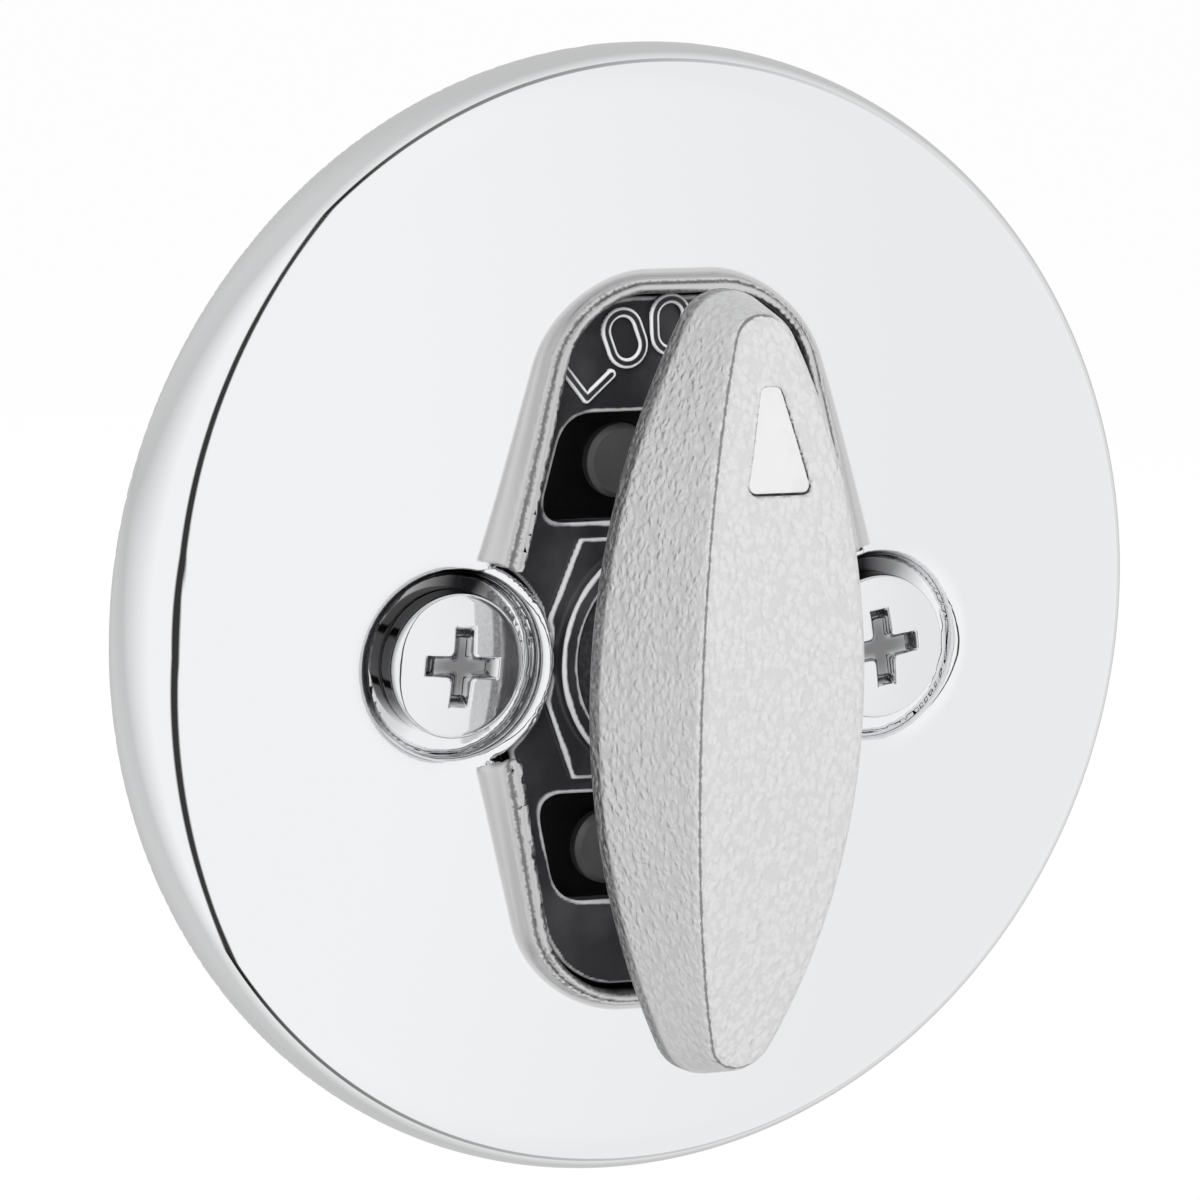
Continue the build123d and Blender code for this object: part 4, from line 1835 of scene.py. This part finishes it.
    def build(self, finish: bpy.types.Material) -> bpy.types.Object:
        """Makes both screws as one piece.

        Args:
            finish: Their material.

        Returns:
            The piece.
        """
        reach = self.head_radius
        low, high = (-reach, -reach, self.tip), (reach, reach, self.seat + self.head_height)
        mesh = self.skin.mesh("screw_blank", self.form, low, high, shade=self.shade)
        blank = show("mounting_screws", mesh, finish)
        length = self.thread_start - self.tip - self.thread_end
        sizes = {
            "Turns": length / self.pitch,
            "Root Radius": (self.core_radius - self.thread_sink) * MM,
            "Length": length * MM,
            "Top": -self.thread_start * MM,
            "Ridge": (self.thread_radius - self.core_radius + self.thread_sink) * MM,
            "Spacing": self.spacing * MM,
            "First Turn": math.radians(self.turns[0]),
            "Second Turn": math.radians(self.turns[1]),
        }
        tree = self.thread_tree(finish, sizes)
        wind = blank.modifiers.new("thread", "NODES")
        wind.node_group = tree
        for item in tree.interface.items_tree:
            if item.in_out == "INPUT" and item.name in sizes:
                wind[item.identifier] = sizes[item.name]
        piece = bake(blank, finish)
        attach(piece, Body.BASE.value)
        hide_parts("screw_left", "screw_right")
        return piece


def bake(piece: bpy.types.Object, finish: bpy.types.Material) -> bpy.types.Object:
    """Turns a piece and its modifiers into a plain mesh.

    Args:
        piece: The piece with its modifiers.
        finish: Its material.

    Returns:
        The same object with a plain mesh.
    """
    shape = piece.evaluated_get(bpy.context.evaluated_depsgraph_get())
    mesh = bpy.data.meshes.new_from_object(shape)
    mesh.name = piece.name
    piece.modifiers.clear()
    piece.data = mesh
    mesh.materials.clear()
    mesh.materials.append(finish)
    return piece


@dataclass(frozen=True)
class Lamp:
    """A square lamp that points at the object, and that polished metal doesn't mirror.

    Attributes:
        name: Name of the lamp.
        place: Its place, in millimetres.
        size: Its side, in millimetres.
        watts: Its power.
    """

    name: str
    place: tuple[float, float, float]
    size: float
    watts: float

    def build(self) -> None:
        """Hangs the lamp."""
        data = bpy.data.lights.new(self.name, "AREA")
        data.size = self.size * MM
        data.energy = self.watts
        lamp = bpy.data.objects.new(self.name, data)
        lamp.location = Vector(self.place) * MM
        lamp.rotation_euler = (-lamp.location).to_track_quat("-Z", "Y").to_euler()
        lamp.visible_glossy = False
        bpy.context.scene.collection.objects.link(lamp)


@dataclass
class Studio:
    """Camera, world, lamps and floor.

    Attributes:
        azimuth: Camera's angle to the left of the front, in degrees.
        elevation: Camera's angle above the horizon, in degrees.
        roll: Camera's roll, in degrees.
        distance: Camera's distance, in millimetres.
        frame_width: Width of the frame at the object, in millimetres.
        aim: Aim point right of and above the rose's centre, in millimetres.
        rose_centre: Height of the rose's centre, in millimetres.
        floor_drop: How far the floor lies below the object, in millimetres.
        floor_half: Half of the floor's side, in metres.
        floor_shade: Brightness of the floor's own colour.
        floor_white: How far the camera sees the floor as plain white, from 0 to 1.
        room_level: Strength of the room's light on matt surfaces.
        mirror_level: Brightness of the room that polished metal mirrors.
        strip: Angle of the dark strip's middle at the left and where it passes above, in degrees.
        strip_half: Half of its width in the same two places, in degrees.
        strip_climb: Angles round the panel, from its left, between which the strip climbs.
        strip_thins: Angle round the panel at which it has become thin, in degrees.
        strip_dark: How dark it is at the left and at the right.
        dusk: Angle from which the room grows darker, in degrees.
        night: Angles at which it is darkest, at the left and above, in degrees.
        night_dark: How much darker it is there, at the left and above.
        night_turn: Angle round the panel at which the values for above hold, in degrees.
        falloff: How much darker the panel is at its right.
        panel_half: Half of the width over which that happens, as a sine.
        lamps: The lamps, which light matt surfaces.
    """

    azimuth: float = 28.4
    elevation: float = 8.1
    roll: float = 1.84
    distance: float = 650.0
    frame_width: float = 70.75
    aim: Pair = (-1.18, 0.41)
    rose_centre: float = 2.0
    floor_drop: float = 30.0
    floor_half: float = 2.0
    floor_shade: float = 0.9
    floor_white: float = 0.97
    room_level: float = 0.55
    mirror_level: float = 1.0
    strip: Pair = (36.5, 86.0)
    strip_half: Pair = (7.0, 3.2)
    strip_climb: Pair = (6.0, 58.0)
    strip_thins: float = 45.0
    strip_dark: Pair = (0.96, 0.1)
    dusk: float = 85.0
    night: Pair = (160.0, 104.0)
    night_dark: Pair = (0.43, 0.33)
    night_turn: float = 60.0
    falloff: float = 0.07
    panel_half: float = 0.25
    lamps: tuple[Lamp, ...] = (
        Lamp("key", (-350.0, -450.0, 420.0), 260.0, 3.4),
        Lamp("fill", (420.0, -380.0, 160.0), 320.0, 0.8),
        Lamp("back", (120.0, 420.0, 320.0), 320.0, 1.6),
    )

    def camera(self) -> None:
        """Places the camera."""
        a, e, r = (math.radians(v) for v in (self.azimuth, self.elevation, self.roll))
        back = Vector((-math.sin(a) * math.cos(e), -math.cos(a) * math.cos(e), math.sin(e)))
        right = Vector((math.cos(a), -math.sin(a), 0.0))
        up = back.cross(right)
        across = right * math.cos(r) + up * math.sin(r)
        rise = up * math.cos(r) - right * math.sin(r)
        target = Vector((0.0, 0.0, self.rose_centre)) + across * self.aim[0] + rise * self.aim[1]
        data = bpy.data.cameras.new("camera")
        data.sensor_width = 36.0
        data.lens = data.sensor_width * self.distance / self.frame_width
        data.clip_start = 0.01
        view = bpy.data.objects.new("camera", data)
        turn = Matrix((across, rise, back)).transposed().to_4x4()
        view.matrix_world = Matrix.Translation((target + back * self.distance) * MM) @ turn
        bpy.context.scene.collection.objects.link(view)
        bpy.context.scene.camera = view

    def mirrored(self, sheet: NodeSheet) -> bpy.types.NodeSocket:
        """What polished metal mirrors: a bright panel that the cover faces, and a dark strip round it.

        Args:
            sheet: Sheet on the world's nodes.

        Returns:
            The brightness's socket.
        """
        place = sheet.add("ShaderNodeTexCoord").outputs["Generated"]
        a, e = math.radians(self.azimuth), math.radians(self.elevation)
        facing = (math.sin(a) * math.cos(e), -math.cos(a) * math.cos(e), -math.sin(e))
        angle = sheet.math("ARCCOSINE", sheet.dot(place, facing))
        sideways = sheet.dot(place, (-math.cos(a), -math.sin(a), 0.0))
        tilt = sheet.math("DIVIDE", sideways, sheet.math("SINE", angle))
        tilt = sheet.math("MAXIMUM", sheet.math("MINIMUM", tilt, 1.0), -1.0)
        around = sheet.math("ARCCOSINE", tilt)
        near, far = map(math.radians, self.strip)
        wide, narrow = map(math.radians, self.strip_half)
        middle = sheet.ramp(around, *map(math.radians, self.strip_climb), near, far)
        half = sheet.ramp(around, 0.0, math.radians(self.strip_thins), wide, narrow)
        off = sheet.math("ABSOLUTE", sheet.math("SUBTRACT", angle, middle))
        band = sheet.ramp(sheet.math("DIVIDE", off, half), 0.75, 1.25, 1.0, 0.0)
        left, right = self.strip_dark
        strip = sheet.math("MULTIPLY", band, sheet.ramp(tilt, -0.9, 0.45, right, left))
        dusk, aside, above, turned = map(math.radians, (self.dusk, *self.night, self.night_turn))
        span = sheet.ramp(around, 0.0, turned, aside - dusk, above - dusk)
        late = sheet.math("DIVIDE", sheet.math("SUBTRACT", angle, dusk), span)
        depth = sheet.ramp(around, 0.0, turned, *self.night_dark)
        behind = sheet.math("MULTIPLY", sheet.ramp(late, 0.0, 1.0, 0.0, 1.0), depth)
        bright, reach = self.mirror_level, self.panel_half
        panel = sheet.ramp(sideways, -reach, reach, bright - self.falloff, bright)
        return sheet.math("SUBTRACT", sheet.math("SUBTRACT", panel, strip), behind)

    def world(self) -> None:
        """A white room, in which polished metal mirrors a panel with a dark strip round it."""
        world = bpy.data.worlds.new("room")
        bpy.context.scene.world = world
        world.use_nodes = True
        sheet = NodeSheet(world.node_tree)
        sheet.tree.nodes.clear()
        rays = sheet.add("ShaderNodeLightPath")
        shiny = sheet.math("MAXIMUM", rays.outputs["Is Glossy Ray"], rays.outputs["Is Transmission Ray"])
        plain = sheet.ramp(rays.outputs["Is Camera Ray"], 0.0, 1.0, self.room_level, 1.0)
        blend = sheet.add("ShaderNodeMix", data_type="FLOAT")
        sheet.link(shiny, blend.inputs[0])
        sheet.link(plain, blend.inputs[2])
        sheet.link(self.mirrored(sheet), blend.inputs[3])
        back = sheet.add("ShaderNodeBackground")
        back.inputs["Color"].default_value = (1.0, 1.0, 1.0, 1.0)
        sheet.link(blend.outputs[0], back.inputs["Strength"])
        sheet.link(back.outputs[0], sheet.add("ShaderNodeOutputWorld").inputs["Surface"])

    def floor(self, lowest: float) -> None:
        """Lays a plain pale floor under the object.

        Args:
            lowest: Lowest level of the object, in metres.
        """
        half, shade = self.floor_half, self.floor_shade
        level = lowest - self.floor_drop * MM
        corners = [(-half, -half, level), (half, -half, level), (half, half, level), (-half, half, level)]
        mesh = bpy.data.meshes.new("floor")
        mesh.from_pydata(corners, [], [(0, 1, 2, 3)])
        material = bpy.data.materials.new("floor")
        material.use_nodes = True
        sheet = NodeSheet(material.node_tree)
        shader = material.node_tree.nodes["Principled BSDF"]
        shader.inputs["Base Color"].default_value = (shade, shade, shade, 1.0)
        shader.inputs["Roughness"].default_value = 0.9
        rays = sheet.add("ShaderNodeLightPath")
        white = sheet.add("ShaderNodeEmission")
        mixed = sheet.add("ShaderNodeMixShader")
        sheet.link(sheet.math("MULTIPLY", rays.outputs["Is Camera Ray"], self.floor_white), mixed.inputs[0])
        sheet.link(shader.outputs[0], mixed.inputs[1])
        sheet.link(white.outputs[0], mixed.inputs[2])
        sheet.link(mixed.outputs[0], material.node_tree.nodes["Material Output"].inputs["Surface"])
        floor = show("floor", mesh, material)
        floor.visible_glossy = False
        floor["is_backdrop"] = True

    def build(self, lowest: float) -> None:
        """Sets the whole studio.

        Args:
            lowest: Lowest level of the object, in metres.
        """
        bpy.context.scene.view_settings.view_transform = "Standard"
        self.camera()
        self.world()
        for lamp in self.lamps:
            lamp.build()
        self.floor(lowest)


def dress(nodes: dict[str, bpy.types.Object], names: tuple[str, ...], finish: bpy.types.Material) -> None:
    """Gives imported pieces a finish.

    Args:
        nodes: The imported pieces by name.
        names: Which of them to dress.
        finish: Their material.
    """
    for name in names:
        nodes[name].data.materials.clear()
        nodes[name].data.materials.append(finish)
        LOG.info("dressed %s", name)


def main() -> None:
    """Builds and dresses the assembly."""
    logging.basicConfig(level=logging.INFO, format="%(name)s: %(message)s")
    for old in list(bpy.data.objects):
        bpy.data.objects.remove(old)
    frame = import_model()
    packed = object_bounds()
    Rose().build(PolishedPlate("polished_chrome").build())
    Turnpiece().build(SatinCasting("satin_casting").build(), Enamel("white_enamel").build())
    GuidePlate().build(DarkMoulding("dark_moulding").build())
    RaisedWord().build(DarkMoulding("rubbed_letters", rubbed=(0.85, 0.85, 0.86), ragged=0.12).build())
    head = PolishedPlate("screw_plate", colour=(0.84, 0.845, 0.855), smooth=0.04, hazy=0.08)
    MountingScrews().build(head.build())
    steel = PlainSteel("zinc_plated_steel")
    spring = PlainSteel("dark_spring_steel", colour=(0.34, 0.345, 0.36), cloudy=(0.24, 0.245, 0.26))
    black = PlainSteel(
        "blackened_steel", colour=(0.03, 0.03, 0.033), cloudy=(0.02, 0.02, 0.022), smooth=0.4, rough=0.6
    )
    dull = PlainSteel(
        "dull_steel", colour=(0.3, 0.3, 0.305), cloudy=(0.22, 0.22, 0.225), smooth=0.6, rough=0.75
    )
    nodes = frame["nodes"]
    dress(nodes, ("support_plate",), black.build())
    dress(nodes, ("stop_post_upper", "stop_post_lower"), dull.build())
    dress(nodes, ("stop_cam", "tailpiece"), steel.build())
    dress(nodes, ("spring_washer", "retaining_clip", "tailpiece_pin"), spring.build())
    dress(nodes, ("hub_bushing", "thrust_washer"), BearingPlastic("bearing_plastic").build())
    Studio().build(packed[0].z)
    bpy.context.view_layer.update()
    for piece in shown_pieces():
        LOG.info("%s: %d faces", piece.name, len(piece.data.polygons))


if __name__ == "__main__":
    main()
